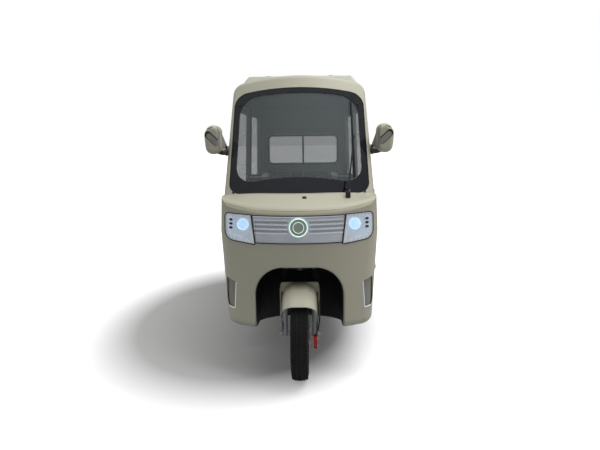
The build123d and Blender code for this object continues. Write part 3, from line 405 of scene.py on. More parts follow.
def turned(profile, centre, axis="X", steps=96, close=True):
    """A shape turned about an axis through a centre, from rows of (along, radius)."""
    shape = bmesh.new()
    rings = []
    for step in range(steps):
        angle = 2 * math.pi * step / steps
        ring = []
        for along, radius in profile:
            c, s = radius * math.cos(angle), radius * math.sin(angle)
            local = {"X": (along, c, s), "Y": (s, along, c), "Z": (c, s, along)}[axis]
            ring.append(shape.verts.new(centre + Vector(local) / 1000))
        rings.append(ring)
    last = len(profile) if close else len(profile) - 1
    for step in range(steps):
        a, b = rings[step], rings[(step + 1) % steps]
        for i in range(last):
            j = (i + 1) % len(profile)
            shape.faces.new((a[i], b[i], b[j], a[j]))
    return mesh_of(shape)


def eased(points, steps=6):
    """A smooth run through a few points."""
    out = []
    last = len(points) - 1
    for i in range(last):
        a, b, c, d = points[max(i - 1, 0)], points[i], points[i + 1], points[min(i + 2, last)]
        for step in range(steps):
            t = step / steps
            out.append(0.5 * (2 * b + (c - a) * t + (2 * a - 5 * b + 4 * c - d) * t**2
                              + (3 * b - a - 3 * c + d) * t**3))
    return out + [points[last]]


def tube(points, radius, closed=False, sides=8):
    """A round bar along a run of points."""
    shape = bmesh.new()
    rings = []
    side = None
    count = len(points)
    for i, point in enumerate(points):
        ahead = points[(i + 1) % count] if closed or i < count - 1 else point
        behind = points[i - 1] if closed or i else point
        run = (ahead - behind).normalized()
        side = run.orthogonal() if side is None else side - run * side.dot(run)
        side.normalize()
        up = run.cross(side)
        turns = [2 * math.pi * k / sides for k in range(sides)]
        rings.append([shape.verts.new(point + (side * math.cos(a) + up * math.sin(a)) * mm(radius))
                      for a in turns])
    pairs = list(zip(rings, rings[1:])) + ([(rings[-1], rings[0])] if closed else [])
    for a, b in pairs:
        for k in range(sides):
            n = (k + 1) % sides
            shape.faces.new((a[k], a[n], b[n], b[k]))
    if not closed:
        shape.faces.new(rings[0])
        shape.faces.new(rings[-1])
    return mesh_of(shape)


def slab(outline, place, thick, round_off=0):
    """A plate from outline rows, each put in place at two depths, its rims rounded."""
    shape = bmesh.new()
    near = [shape.verts.new(place(a, b, 0)) for a, b in outline]
    away = [shape.verts.new(place(a, b, -thick)) for a, b in outline]
    shape.faces.new(near)
    shape.faces.new(list(reversed(away)))
    count = len(outline)
    for i in range(count):
        j = (i + 1) % count
        shape.faces.new((near[j], near[i], away[i], away[j]))
    if round_off:
        rims = [e for e in shape.edges if e.calc_face_angle() > math.radians(50)]
        bmesh.ops.bevel(shape, geom=rims, offset=mm(round_off), segments=3, profile=0.6, affect="EDGES")
    return mesh_of(shape)


def rounded(rows, steps=6):
    """Outline points with each corner of (a, b, radius) rounded by an arc."""
    out = []
    count = len(rows)
    for i in range(count):
        before, here, after = (Vector(rows[k % count][:2]) for k in (i - 1, i, i + 1))
        radius = rows[i][2]
        to_before, to_after = (before - here).normalized(), (after - here).normalized()
        half = to_before.angle(to_after) / 2
        if radius <= 0 or half > math.radians(89):
            out.append(tuple(here))
            continue
        reach = radius / math.tan(half)
        middle = here + (to_before + to_after).normalized() * radius / math.sin(half)
        start, end = here + to_before * reach - middle, here + to_after * reach - middle
        sweep = start.angle_signed(end)
        for step in range(steps + 1):
            turn = -sweep * step / steps
            spun = Vector((start.x * math.cos(turn) - start.y * math.sin(turn),
                           start.x * math.sin(turn) + start.y * math.cos(turn)))
            out.append(tuple(middle + spun))
    return out


def block(centre, size, soften=2, turn=(0, 0, 0), segments=2):
    """A block with softened edges."""
    shape = bmesh.new()
    bmesh.ops.create_cube(shape, size=1)
    for vert in shape.verts:
        vert.co = Vector([c * s / 1000 for c, s in zip(vert.co, size)])
    bmesh.ops.bevel(shape, geom=shape.edges[:], offset=mm(soften), segments=segments, profile=0.6,
                    affect="EDGES")
    mesh = mesh_of(shape)
    mesh.transform(Matrix.Translation(centre) @ Euler([math.radians(a) for a in turn]).to_matrix().to_4x4())
    return mesh


def stand(mesh, place, up):
    """Sets a mesh that was made about the Z axis at a place, its Z along up."""
    mesh.transform(Matrix.Translation(place) @ up.to_track_quat("Z", "Y").to_matrix().to_4x4())
    return mesh


def sided(mesh, side, place):
    """Sets a mesh made about the origin at a place, turned over for the left side."""
    mesh.transform(Matrix.Translation(place) @ Matrix.Scale(side, 4, (1, 0, 0)))
    return mesh


def capsule(start, end, wide, steps=8):
    """Outline of a round-ended bar between two pairs."""
    a, b = Vector(start), Vector(end)
    turn = math.atan2(b.y - a.y, b.x - a.x)
    out = []
    for middle, first in ((b, turn - math.pi / 2), (a, turn + math.pi / 2)):
        for step in range(steps + 1):
            angle = first + math.pi * step / steps
            out.append((middle.x + wide / 2 * math.cos(angle), middle.y + wide / 2 * math.sin(angle)))
    return out


def seen(a, b, way, back=3):
    """A place some metres back along a way of looking, from the two measures seen from there."""
    place = way * -back
    if way.y:
        return Vector((mm(a), place.y, mm(b)))
    if way.x:
        return Vector((place.x, mm(a + FRONT_AXLE_Y), mm(b)))
    return Vector((mm(a), mm(b + FRONT_AXLE_Y), place.z))


class Skin:
    """The surface of some nodes or meshes, to lay lines and thin pieces on."""

    def __init__(self, *meshes):
        shape = bmesh.new()
        for mesh in meshes:
            shape.from_mesh(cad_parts[mesh].data if isinstance(mesh, str) else mesh)
        self.tree = BVHTree.FromBMesh(shape)
        shape.free()

    def touch(self, start, way, proud=0):
        """Where a line of sight meets the surface, moved towards the eye by proud."""
        hit = self.tree.ray_cast(start, way)[0]
        if hit is None:
            hit = self.tree.find_nearest(start + way * 2.6)[0]
        return hit - way * mm(proud)

    def line(self, pairs, way, proud=0, closed=False, step=12, back=3):
        """Places along straight runs between pairs, dropped on the surface."""
        out = []
        for (a, b), (c, d) in zip(pairs, pairs[1:] + (pairs[:1] if closed else [])):
            count = max(1, round(math.hypot(c - a, d - b) / step))
            for k in range(count):
                share = k / count
                start = seen(a + (c - a) * share, b + (d - b) * share, way, back)
                out.append(self.touch(start, way, proud))
        if not closed:
            out.append(self.touch(seen(*pairs[-1], way, back), way, proud))
        return out

    def patch(self, outline, way, proud=0.5, thick=2, cell=10, back=3):
        """A thin piece on the surface, from its outline as seen along way."""
        shape = bmesh.new()
        shape.faces.new([shape.verts.new((a, b, 0)) for a, b in outline])
        for axis in (0, 1):
            low, high = min(row[axis] for row in outline), max(row[axis] for row in outline)
            for cut in range(1, math.ceil((high - low) / cell)):
                middle, facing = ORIGIN.copy(), ORIGIN.copy()
                middle[axis] = low + cut * cell
                facing[axis] = 1
                bmesh.ops.bisect_plane(shape, geom=shape.verts[:] + shape.edges[:] + shape.faces[:],
                                       plane_co=middle, plane_no=facing)
        for vert in shape.verts:
            vert.co = self.touch(seen(vert.co.x, vert.co.y, way, back), way, proud)
        rims = [edge for edge in shape.edges if edge.is_boundary]
        under = {vert: shape.verts.new(vert.co + way * mm(thick)) for vert in shape.verts[:]}
        for face in shape.faces[:]:
            shape.faces.new([under[vert] for vert in reversed(face.verts)])
        for edge in rims:
            a, b = edge.verts
            shape.faces.new((a, b, under[b], under[a]))
        return mesh_of(shape)


# Geometry Nodes: what repeats

def node_tree(name, inputs, kinds, wires):
    """A geometry tree from its inputs, its nodes by label and wires such as "points.0 > copies.Points"."""
    tree = bpy.data.node_groups.new(name, "GeometryNodeTree")
    shape = ("Geometry", "Geometry", None)
    for way, rows in (("OUTPUT", [shape]), ("INPUT", [shape, *inputs])):
        for label, kind, value in rows:
            socket = tree.interface.new_socket(label, in_out=way, socket_type="NodeSocket" + kind)
            if value is not None:
                socket.default_value = value
    kinds = {"given": "NodeGroupInput", "copies": "GeometryNodeInstanceOnPoints", **kinds,
             "real": "GeometryNodeRealizeInstances", "result": "NodeGroupOutput"}
    parts = {label: tree.nodes.new(kind) for label, kind in kinds.items()}
    for wire in (wires + "; copies.0 > real.0; real.0 > result.0").split(";"):
        (a, out), (b, into) = (end.strip().split(".") for end in wire.split(">"))
        out, into = (int(key) if key.isdigit() else key for key in (out, into))
        tree.links.new(parts[a].outputs[out], parts[b].inputs[into])
    return tree, parts


def wheel_pattern():
    """Repeats the piece's own mesh round the wheel's axle."""
    tree, parts = node_tree(
        "round the axle",
        [("Count", "Int", 60), ("Centre", "Vector", None), ("Start", "Float", 0.0)],
        {"points": "GeometryNodePoints", "number": "GeometryNodeInputIndex", "share": "ShaderNodeMath",
         "angle": "ShaderNodeMath", "spin": "ShaderNodeCombineXYZ"},
        "given.Count > points.Count; given.Centre > points.Position; number.0 > share.0;"
        "given.Count > share.1; share.0 > angle.0; given.Start > angle.2; angle.0 > spin.X;"
        "points.0 > copies.Points;"
        "given.Geometry > copies.Instance; spin.0 > copies.Rotation")
    parts["share"].operation = "DIVIDE"
    parts["angle"].operation = "MULTIPLY_ADD"
    parts["angle"].inputs[1].default_value = 2 * math.pi
    return tree


def stud_pattern():
    """Sets a faceted stud on each point, its axis along the point's facing."""
    tree, parts = node_tree(
        "studs on points",
        [("Sides", "Int", 6), ("Radius", "Float", 0.006), ("Top radius", "Float", 0.005),
         ("Height", "Float", 0.004)],
        {"facing": "GeometryNodeInputNamedAttribute", "aim": "FunctionNodeAlignEulerToVector",
         "stud": "GeometryNodeMeshCone"},
        "facing.Attribute > aim.Vector; given.Sides > stud.Vertices; given.Top radius > stud.Radius Top;"
        "given.Radius > stud.Radius Bottom; given.Height > stud.Depth; given.Geometry > copies.Points;"
        "stud.Mesh > copies.Instance; aim.0 > copies.Rotation")
    parts["facing"].data_type = "FLOAT_VECTOR"
    parts["facing"].inputs["Name"].default_value = "facing"
    parts["aim"].axis = "Z"
    return tree


AROUND = wheel_pattern()
STUDS = stud_pattern()


def evaluated(obj):
    """The plain mesh that an object's modifiers make."""
    bpy.context.view_layer.update()
    return bpy.data.meshes.new_from_object(obj.evaluated_get(bpy.context.evaluated_depsgraph_get()))


def grown(mesh, tree, **inputs):
    """The plain mesh that a tree makes from another mesh."""
    obj = placed("grown", mesh)
    modifier = obj.modifiers.new("pattern", "NODES")
    modifier.node_group = tree
    values = {key.replace("_", " "): value for key, value in inputs.items()}
    for item in tree.interface.items_tree:
        if item.in_out == "INPUT" and item.name in values:
            modifier[item.identifier] = values[item.name]
    obj.update_tag()
    out = evaluated(obj)
    bpy.data.objects.remove(obj)
    return out


def around(mesh, centre, count, start=0.0):
    mesh.transform(Matrix.Translation(-centre))
    return grown(mesh, AROUND, Count=count, Centre=centre, Start=start)


def studs(places, radius, top, height, sides):
    """Bolt heads, rivets or dots at rows of (place, facing)."""
    mesh = bpy.data.meshes.new("places")
    mesh.from_pydata([tuple(place) for place, facing in places], [], [])
    layer = mesh.attributes.new("facing", "FLOAT_VECTOR", "POINT")
    for item, (place, facing) in zip(layer.data, places):
        item.vector = Vector(facing).normalized()
    return grown(mesh, STUDS, Sides=sides, Radius=mm(radius), Top_radius=mm(top), Height=mm(height))


# Wheels

TREAD_LUGS = 66
# Each pair of lug rows: distance off the middle, radius, size, tilt, twist, and its turn round the tyre
LUG_ROWS = (
    (24.5, 242.1, (9, 15, 7.5), 7, 8, 0),
    (37.5, 236.2, (11, 13, 9), 32, -14, math.pi / TREAD_LUGS),
)


def on_wheel(centre, side, x, z):
    """A place above a wheel's middle, on its left or right."""
    return centre + Vector((side * x, 0, z)) / 1000


def tyre_mesh(centre):
    """Carcass with bulged walls, a bead line and four tread ribs cut by cross grooves."""
    half = [(8, 243.4), (9, 247.0), (17, 246.6), (18, 242.6), (27, 241.5), (40, 236), (46, 226),
            (48.6, 210), (48.8, 198), (46, 184), (40, 172), (33, 163), (30, 158.9)]
    profile = [(0, 243.4)] + half + [(0, 158.9)] + [(-a, r) for a, r in reversed(half)]
    parts = [turned(profile, centre, steps=120)]
    for x, reach, size, tilt, twist, start in LUG_ROWS:
        pair = [block(on_wheel(centre, side, x, reach), size, 1.2, (0, side * tilt, side * twist))
                for side in (1, -1)]
        parts.append(around(joined(*pair), centre, TREAD_LUGS, start))
    middle_bar = block(on_wheel(centre, 1, 0, 244.5), (15, 4, 5), 0.8, (0, 0, 24))
    return joined(*parts, around(middle_bar, centre, TREAD_LUGS))


WHEELS = {"front": ("front_wheel", at(0, 0, AXLE_HEIGHT), "front_tyre")}
for name, side in SIDES:
    middle = at(side * REAR_WHEEL_X, WHEELBASE, AXLE_HEIGHT)
    WHEELS[name] = (f"rear_wheel_{name}", middle, f"rear_tyre_{name}")
for name, (body, centre, node) in WHEELS.items():
    piece(f"tyre_tread_{name}", tyre_mesh(centre), TYRE, body, instead_of=[node])


def wheel_bolts(centre, side, face_x, ring, count, radius, high):
    """Hexagon heads round a wheel's face."""
    head = turned([(0, 0.5), (0, radius), (high, radius * 0.9), (high, 0.5)], ORIGIN, "X", 6, close=False)
    return around(sided(head, side, on_wheel(centre, side, face_x, ring)), centre, count)


for name, side in SIDES:
    body, centre, node = WHEELS[name]
    piece(f"rear_lug_nuts_{name}", wheel_bolts(centre, side, -30, 48, 5, 9, 11), STEEL, body)
    cap = turned([(17, 0.5), (27, 12), (26, 22), (17, 31)], ORIGIN, "X", 40, close=False)
    piece(f"rear_hub_cap_{name}", sided(cap, side, centre), BLACK, body)
    valve = tube([on_wheel(centre, side, 34, 142), on_wheel(centre, side, 52, 126)], 3.2)
    piece(f"rear_valve_{name}", valve, BLACK, body)

DISC_FACE = 60.05
DISC_HOLES = 20
front_centre = WHEELS["front"][1]
piece("front_disc_bolts", joined(wheel_bolts(front_centre, 1, 60, 46, 6, 5, 4),
                                 wheel_bolts(front_centre, -1, 45, 24, 5, 5, 4)), STEEL, "front_wheel")
disc_holes = []
for ring, start in ((94, 0), (78, math.pi / DISC_HOLES)):
    hole = turned([(DISC_FACE, 0.5), (DISC_FACE, 3.4), (60.3, 3.4), (60.3, 0.5)],
                  on_wheel(front_centre, 1, 0, ring), "X", 12)
    disc_holes.append(around(hole, front_centre, DISC_HOLES, start))
piece("front_disc_holes", joined(*disc_holes), BLACK, "front_wheel")


# Seats, swelled by cloth under pressure

CLOTH_FRAMES = 14
# How far a swelled seat may pass its solid's box below and above, in metres
SEAT_UNDER = 0.004
SEAT_OVER = 0.006


def swelled(name, node, shrink, size, cap):
    """A padded cushion grown from the plain seat solid."""
    shape = bmesh.new()
    shape.from_mesh(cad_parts[node].data)
    bmesh.ops.remove_doubles(shape, verts=shape.verts, dist=1e-5)
    low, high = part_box(node)
    middle = (low + high) / 2
    for vert in shape.verts:
        for axis in range(3):
            reach = max(high[axis] - low[axis], 1e-3)
            vert.co[axis] = middle[axis] + (vert.co[axis] - middle[axis]) * (1 - 2 * mm(shrink) / reach)
    obj = placed(name, mesh_from(shape))
    remesh = obj.modifiers.new("voxels", "REMESH")
    remesh.mode = "VOXEL"
    remesh.voxel_size = mm(size)
    fine = evaluated(obj)
    obj.modifiers.clear()
    obj.data = fine
    start = [vert.co.copy() for vert in fine.vertices]
    cloth = obj.modifiers.new("padding", "CLOTH")
    cloth.settings.use_pressure = True
    cloth.settings.uniform_pressure_force = 4
    cloth.settings.effector_weights.gravity = 0
    cloth.point_cache.frame_start = 1
    cloth.point_cache.frame_end = CLOTH_FRAMES
    for step in range(1, CLOTH_FRAMES + 1):
        bpy.context.scene.frame_set(step)
    swollen = bpy.data.meshes.new_from_object(obj.evaluated_get(bpy.context.evaluated_depsgraph_get()))
    obj.modifiers.clear()
    obj.data = swollen
    bpy.context.scene.frame_set(1)
    for vert, rest in zip(swollen.vertices, start):
        shift = vert.co - rest
        if shift.length > mm(cap):
            vert.co = rest + shift.normalized() * mm(cap)
    for vert in obj.data.vertices:
        for axis in range(3):
            vert.co[axis] = min(max(vert.co[axis], low[axis] - SEAT_UNDER), high[axis] + SEAT_OVER)
    for face in obj.data.polygons:
        face.use_smooth = True
    finer = obj.modifiers.new("smooth", "SUBSURF")
    finer.levels = finer.render_levels = 1
    obj.data.materials.clear()
    obj.data.materials.append(LEATHER)
    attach(obj, "root")
    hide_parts(node)
    return obj


driver_cushion = swelled("driver_cushion", "driver_seat_cushion", 7, 9, 12)
driver_back = swelled("driver_back", "driver_seat_backrest", 7, 9, 12)
bench_cushion = swelled("bench_cushion", "rear_bench_cushion", 8, 12, 14)
bench_back = swelled("bench_back", "rear_bench_backrest", 8, 12, 14)


# Windscreen buttons, wiper and washer

SCREEN_CORNERS = ((-392, 662), (392, 662), (-396, 50), (396, 50))
screen_corners = [(on_glass(x, up, -2.5), glass_out) for x, up in SCREEN_CORNERS]
piece("windscreen_buttons", studs(screen_corners, 11, 8.5, 5, 20), BLACK)
cab_front = Skin("front_fascia", "windscreen_frame")
wiper_foot = cab_front.touch(seen(290, 1046, AHEAD), AHEAD)
wiper_up = Vector((0, -0.5, 0.85))
piece("wiper_cap", studs([(wiper_foot, wiper_up)], 15, 11, 22, 24), BLACK)
piece("wiper_ring", studs([(wiper_foot, wiper_up)], 19, 17, 6, 24), GREY)
washer = cab_front.touch(seen(34, 1018, AHEAD), AHEAD)
piece("washer_nozzle", joined(
    block(washer, (24, 20, 9), 3.5, (28, 0, 0)),
    studs([(washer + Vector((0, 0, 0.004)), Vector((0, -0.6, 0.8)))], 3, 2.4, 4, 10)), BLACK)


# Front lights and the strip between them

STRIP = [(429, 936, 22), (429, 788, 55), (249, 768, 4), (243, 778, 0), (-243, 778, 0), (-249, 768, 4),
         (-429, 788, 55), (-429, 936, 22), (-271, 932, 4), (-265, 928, 0), (265, 928, 0), (271, 932, 4)]
STRIP_MIDDLE_Z = 850
STRIP_EDGE = 1.6
LAMP_X, LAMP_Z = 322, 872
RING_Z = 866
fascia_skin = Skin("front_fascia")
cover_skin = Skin("lamp_lenses", "grille_panel")


def strip_edge():
    """Outline of the lamp strip, a little outside its pocket."""
    rows = [(x + math.copysign(STRIP_EDGE, x), z + math.copysign(STRIP_EDGE, z - STRIP_MIDDLE_Z), r)
            for x, z, r in STRIP]
    return fascia_skin.line(rounded(rows), AHEAD, 0.6, closed=True, step=16)


def divider(side):
    rows = [(side * 242.5, 769), (side * 250.5, 769), (side * 272.5, 931), (side * 264.5, 931)]
    return slab(rows, lambda a, b, t: on_nose(a, b, 1 + t), 7)


def projector(side):
    profile = [(-20, 0.5), (-19, 12), (-15, 22), (-8, 29), (0, 32), (6, 32), (6, 0.5)]
    return turned(profile, at(side * LAMP_X, 14, LAMP_Z), "Y", 48, close=False)


def projector_bezel(side):
    profile = [(-6, 33), (-10, 36), (-6, 40), (10, 40), (10, 33)]
    return turned(profile, at(side * LAMP_X, 10, LAMP_Z), "Y", 48)


def facet(side):
    """Wedge in the lamp's lower inner corner, made bright by the bowl's painted glow."""
    rows = [(side * a, b) for a, b in ((256, 776), (338, 784), (268, 846))]
    return slab(rows, lambda a, b, t: on_nose(a, b, t - 9), 4)


def lamp_ovals(side):
    return joined(*[cover_skin.patch(capsule((side * 388, z), (side * 397, z), 13), AHEAD, 0.4, 1.4)
                    for z in (899, 876, 853)])


def ring(profile):
    return turned(profile, at(0, NOSE_START, RING_Z), "Y", 72)


piece("projectors", both(projector), LENS, instead_of=["front_lights"])
# The projector bezels' bright rims are a painted highlight glow
piece("projector_bezels", both(projector_bezel), PAINTED_HIGHLIGHT)
# The wedges glow with the bowl's painted light
piece("lamp_facets", both(facet), GLOWING_BOWL)
piece("lamp_ovals", both(lamp_ovals), BLACK)
piece("strip_seal", tube(strip_edge(), 2.6, closed=True), SEAL)
piece("strip_dividers", both(divider), BLACK)
piece("ring_light", joined(ring([(-5.5, 47.6), (-7.6, 49.8), (-5.5, 52), (2, 52), (2, 47.6)]),
                           ring([(-4.6, 28.6), (-5.6, 30), (-4.6, 31.4), (2, 31.4), (2, 28.6)])), GLOW)
piece("ring_disc", ring([(-3.6, 0.5), (-4.6, 20), (-4.6, 44), (-3, 47), (2, 47), (2, 0.5)]), PALE)


def grille_dots():
    """Beads between the rows of slots, made bright by a painted highlight glow."""
    columns, pitch, first = 17, 11.3, 64
    rows = []
    for side in (1, -1):
        for column in range(columns):
            x = side * (first + pitch * (column + 0.5))
            for row in (-1.5, -0.5, 0.5, 1.5):
                rows.append((on_nose(x, 868 + 25 * row, -2.4), Vector((x / NOSE_BOW, -1, 0))))
    return studs(rows, 3, 1.8, 2, 8)


# The grille's beads and the tube along its top chamfer glow as painted highlights
piece("grille_dots", grille_dots(), PAINTED_HIGHLIGHT)
piece("grille_bevel", tube([on_nose(x, 924.5, -1.6) for x in range(-256, 257, 16)], 2.2), PAINTED_HIGHLIGHT)
cowl_seam = [(x, 958 + 38 * (abs(x) / 430) ** 3.2) for x in range(-444, 445, 12)]
# The bead marks the real seam, and its pale yellow paints the crease's highlight line
piece("cowl_seam_highlight_bead", tube(cab_front.line(cowl_seam, AHEAD, 0.2), 1.7, sides=6), SEAM_HIGHLIGHT)


def vent_lip(side):
    pairs = [(side * a, b) for a, b in ((364, 540), (368, 470), (371, 396), (376, 392.5), (412, 393))]
    return tube(fascia_skin.line(pairs, AHEAD, 0.3), 2.4, sides=6)


# The vent lips glow as a painted highlight along their inner and bottom edges
piece("vent_lips", both(vent_lip), PAINTED_HIGHLIGHT)


# Mirrors, made on the right and mirrored

MIRROR_BEZEL = [(485, 1306, 8), (503, 1282, 8), (511, 1345, 0), (508, 1404, 0), (522, 1448, 6),
                (508, 1444, 8), (489, 1400, 6)]
MIRROR_RIM = [(487, 1272, 42), (588, 1262, 48), (602, 1400, 60), (566, 1456, 44), (496, 1440, 44)]
MIRROR_X, MIRROR_Z = 545, 1360
mirror_skin = Skin("mirror_right")


def mirror_patch(outline, proud, thick):
    return mirror_skin.patch(outline, AHEAD, proud, thick, 6)


piece("mirror_slots", mirrored(joined(mirror_patch(capsule((574, 1392), (518, 1340), 44), 0.5, 3),
                                      mirror_patch(capsule((547, 1438), (587, 1424), 4.5), 0.6, 2))), BLACK)
piece("mirror_bezels", mirrored(joined(mirror_patch(capsule((566, 1383), (514, 1334), 33), 1.3, 3),
                                       mirror_patch(rounded(MIRROR_BEZEL), 1.0, 3))), GREY)
arm_case = joined(block(at(487, 333, 1279), (52, 62, 30), 9, (6, -10, 34), 3),
                  block(at(466, 372, 1284), (14, 62, 62), 6, (0, 0, 6), 3))
piece("mirror_arm_cases", mirrored(arm_case), DARK)
arm_screws = [(at(472, 352, 1304), Vector((0.9, -0.5, 0))), (at(478, 346, 1262), Vector((0.8, -0.6, 0)))]
piece("mirror_arm_screws", mirrored(studs(arm_screws, 6, 5, 5, 12)), BLACK)
rim_rows = [(x + (MIRROR_X - x) * 0.05, z + (MIRROR_Z - z) * 0.035, r * 0.95) for x, z, r in MIRROR_RIM]
rim_run = mirror_skin.line(rounded(rim_rows), BACK, 0.5, closed=True, step=8)
piece("mirror_rims", mirrored(tube(rim_run, 2.4, True)), BLACK)


# Doors and side windows

DOOR = [(345, 330, 45), (345, 1090, 100), (575, 1600, 45), (1287, 1600, 45), (1287, 330, 45)]
DOOR_WINDOW = [(395, 985, 40), (395, 1078.9, 40), (606.6, 1550, 40), (1237, 1550, 40), (1237, 985, 40)]
QUARTER = [(1370, 985, 50), (1370, 1550, 50), (2060, 1550, 70), (2110, 985, 50)]
REAR_WINDOW = [(367, 1074, 55), (367, 1390, 55), (-367, 1390, 55), (-367, 1074, 55)]
HINGE_D = 342.5
HINGE_X = 477
ARCH_X, ARCH_RADIUS = 514, 302
BEAD_FOOT = 0.29


def outgrown(rows, by):
    """Outline rows moved out from their middle by about a distance."""
    a0, b0 = (sum(row[i] for row in rows) / len(rows) for i in (0, 1))
    return [(a + math.copysign(by, a - a0), b + math.copysign(by, b - b0), r) for a, b, r in rows]


def oblong(low, high, radius):
    """Rounded rectangle between two corners."""
    return rounded([(*low, radius), (low[0], high[1], radius), (*high, radius), (high[0], low[1], radius)])


def round_rear_wheel(x, radius, degrees):
    """A place beside the rear wheel, at a radius and an angle up from straight ahead."""
    angle = math.radians(degrees)
    return at(x, WHEELBASE - radius * math.cos(angle), AXLE_HEIGHT + radius * math.sin(angle))


def dress_side(name, side):
    """Seals, door lining, handle, hinges' screws and beads of one side."""
    way = Vector((-side, 0, 0))
    door = f"door_{name}"
    door_skin = Skin(f"door_panel_{name}")
    wall_skin = Skin(f"side_panel_{name}", f"door_panel_{name}", "front_fascia", "windscreen_frame",
                     "rear_panel")

    def lining(outline, proud, thick):
        return door_skin.patch(outline, -way, proud, thick, 40, 0.2)

    def inside(d, z, proud):
        return door_skin.touch(seen(d, z, -way, 0.2), -way, proud)

    for label, rows, by, proud, step, radius, skin, body in (
            ("door_seal", DOOR, -9, -31, 20, 5.5, wall_skin, "root"),
            ("door_window_seal", DOOR_WINDOW, 4, -0.8, 16, 4, door_skin, door),
            ("quarter_window_seal", QUARTER, 4, -0.8, 16, 4, wall_skin, "root")):
        run = skin.line(rounded(outgrown(rows, by)), way, proud, closed=True, step=step)
        piece(f"{label}_{name}", tube(run, radius, True), SEAL, body)
    card = rounded([(402, 372, 40), (402, 930, 30), (1232, 930, 30), (1232, 372, 40)])
    piece(f"door_card_{name}", lining(card, 0.5, 5), TRIM, door)
    pocket = lining(oblong((520, 420), (980, 560), 24), 9, 8)
    arm_rest = lining(oblong((700, 742), (1120, 790), 20), 24, 22)
    piece(f"door_pocket_{name}", joined(pocket, arm_rest), BLACK, door)
    pull = eased([inside(*row) for row in ((1080, 850, 2), (1090, 852, 26), (1190, 852, 26), (1200, 850, 2))])
    crank = block(inside(660, 860, 10), (14, 60, 26), 5)
    piece(f"door_pull_{name}", joined(tube(pull, 8), crank), BLACK, door)
    cup = door_skin.patch(capsule((1112, 930), (1238, 930), 44), way, 0.4, 2, 12)
    piece(f"door_handle_cup_{name}", cup, DARK, door)
    lock = door_skin.touch(seen(1176, 884, way), way, 1)
    piece(f"door_lock_{name}", studs([(lock, -way)], 10, 8.5, 5, 20), STEEL, door)
    piece(f"door_keyhole_{name}", block(lock - way * 0.0025, (2, 2.4, 8), 0.8), BLACK, door)
    for label, turn, lift, body in (("hinge_screws", -1, -15, "root"), ("door_hinge_screws", 1, 16, door)):
        screws = [(at(side * HINGE_X, HINGE_D + turn * step, z + lift), -way)
                  for z in (560, 1000) for step in (22, 36)]
        piece(f"{label}_{name}", studs(screws, 4.6, 3.6, 3, 6), STEEL, body)
    seams = [tube(wall_skin.line(pairs, way, -0.4, step=step), radius, sides=6) for pairs, step, radius in (
        ([(720, 1655), (2118, 1655)], 40, 1.3), ([(2130, 1650), (2130, 640)], 30, 1.3),
        ([(360, 345), (360, 348)], 12, 1.0))]
    piece(f"side_seams_{name}", joined(*seams), SEAL)
    sill_bolts = [(wall_skin.touch(seen(d, 300, way), way), -way) for d in (430, 760, 1130, 1500)]
    piece(f"sill_bolts_{name}", studs(sill_bolts, 7, 6, 4, 6), BLACK)
    arch = [round_rear_wheel(side * ARCH_X, ARCH_RADIUS, -8 + 196 * step / 32) for step in range(33)]
    piece(f"arch_bead_{name}", tube([place for place in arch if place.z > BEAD_FOOT], 4.5), SEAL)


for name, side in SIDES:
    dress_side(name, side)


# Roof

roof_skin = Skin("roof_panel", "windscreen_frame")
roof_seam = roof_skin.line([(-432, 700), (432, 700)], DOWN, -0.5, step=24)
piece("roof_seam", tube(roof_seam, 1.4, sides=6), SEAL)
ribs = [roof_skin.patch(capsule((x, 960), (x, 2090), 34), DOWN, 4, 4.5, 60) for x in (-240, -80, 80, 240)]
piece("roof_ribs", joined(*ribs), ROOF)
lamp_spot = Skin("roof_panel").touch(Vector((0, at(0, 1400, 0).y, 1.2)), UP)
piece("cabin_lamp", block(lamp_spot - UP * 0.006, (150, 60, 18), 7), HEADLINER)


# Tail

rear_skin = Skin("rear_panel", "rear_window_seal", "rear_glass")
tail_skin = Skin("tail_lamps")
bumper_skin = Skin("rear_bumper")
window_bar = rounded([(-9, 1076, 2), (9, 1076, 2), (9, 1388, 2), (-9, 1388, 2)])
piece("rear_window_bar", Skin("rear_glass").patch(window_bar, BACK, 3, 9, 40), SEAL)
window_run = rear_skin.line(rounded(outgrown(REAR_WINDOW, 4)), BACK, -0.8, closed=True, step=16)
piece("rear_window_bead", tube(window_run, 4, True), SEAL)
lamp_edge = rounded([(350, 638, 15), (414, 638, 15), (414, 802, 15), (350, 802, 15)])
lamp_run = rear_skin.line(lamp_edge, BACK, 3, closed=True, step=8)
piece("tail_lamp_bezels", mirrored(tube(lamp_run, 4, True)), BLACK)
for name, low, high, below, above, finish in (
        ("amber", 752, 795, 9, 11, AMBER), ("clear", 645, 684, 11, 9, PALE)):
    field = rounded([(356, low, below), (408, low, below), (408, high, above), (356, high, above)])
    piece(f"tail_lamp_{name}", mirrored(tail_skin.patch(field, BACK, 1.6, 3, 8)), finish)
lamp_ribs = [tube(tail_skin.line([(358, z), (406, z)], BACK, 1.2), 1.4, sides=6)
             for z in range(692, 743, 10)]
piece("tail_lamp_ribs", mirrored(joined(*lamp_ribs)), RED)
piece("bumper_strip", bumper_skin.patch(capsule((-376, 345), (376, 345), 26), BACK, 2.4, 3, 30), DARK)
bumper_bolts = [(bumper_skin.touch(seen(x, 345, BACK), BACK, 3), AHEAD) for x in (-340, -120, 120, 340)]
piece("bumper_bolts", studs(bumper_bolts, 8, 6.5, 5, 6), STEEL)
catch = rear_skin.touch(seen(0, 700, BACK), BACK)
gate_edge = rounded([(-330, 470, 30), (330, 470, 30), (330, 980, 30), (-330, 980, 30)])
piece("tailgate_seam", tube(rear_skin.line(gate_edge, BACK, -0.5, True, 20), 1.6, True, 6), SEAL)
piece("tailgate_catch", joined(block(catch, (70, 14, 24), 5),
                               block(catch + Vector((0, 0.008, 0.004)), (46, 10, 9), 3)), BLACK)


# Chassis, springs and motor

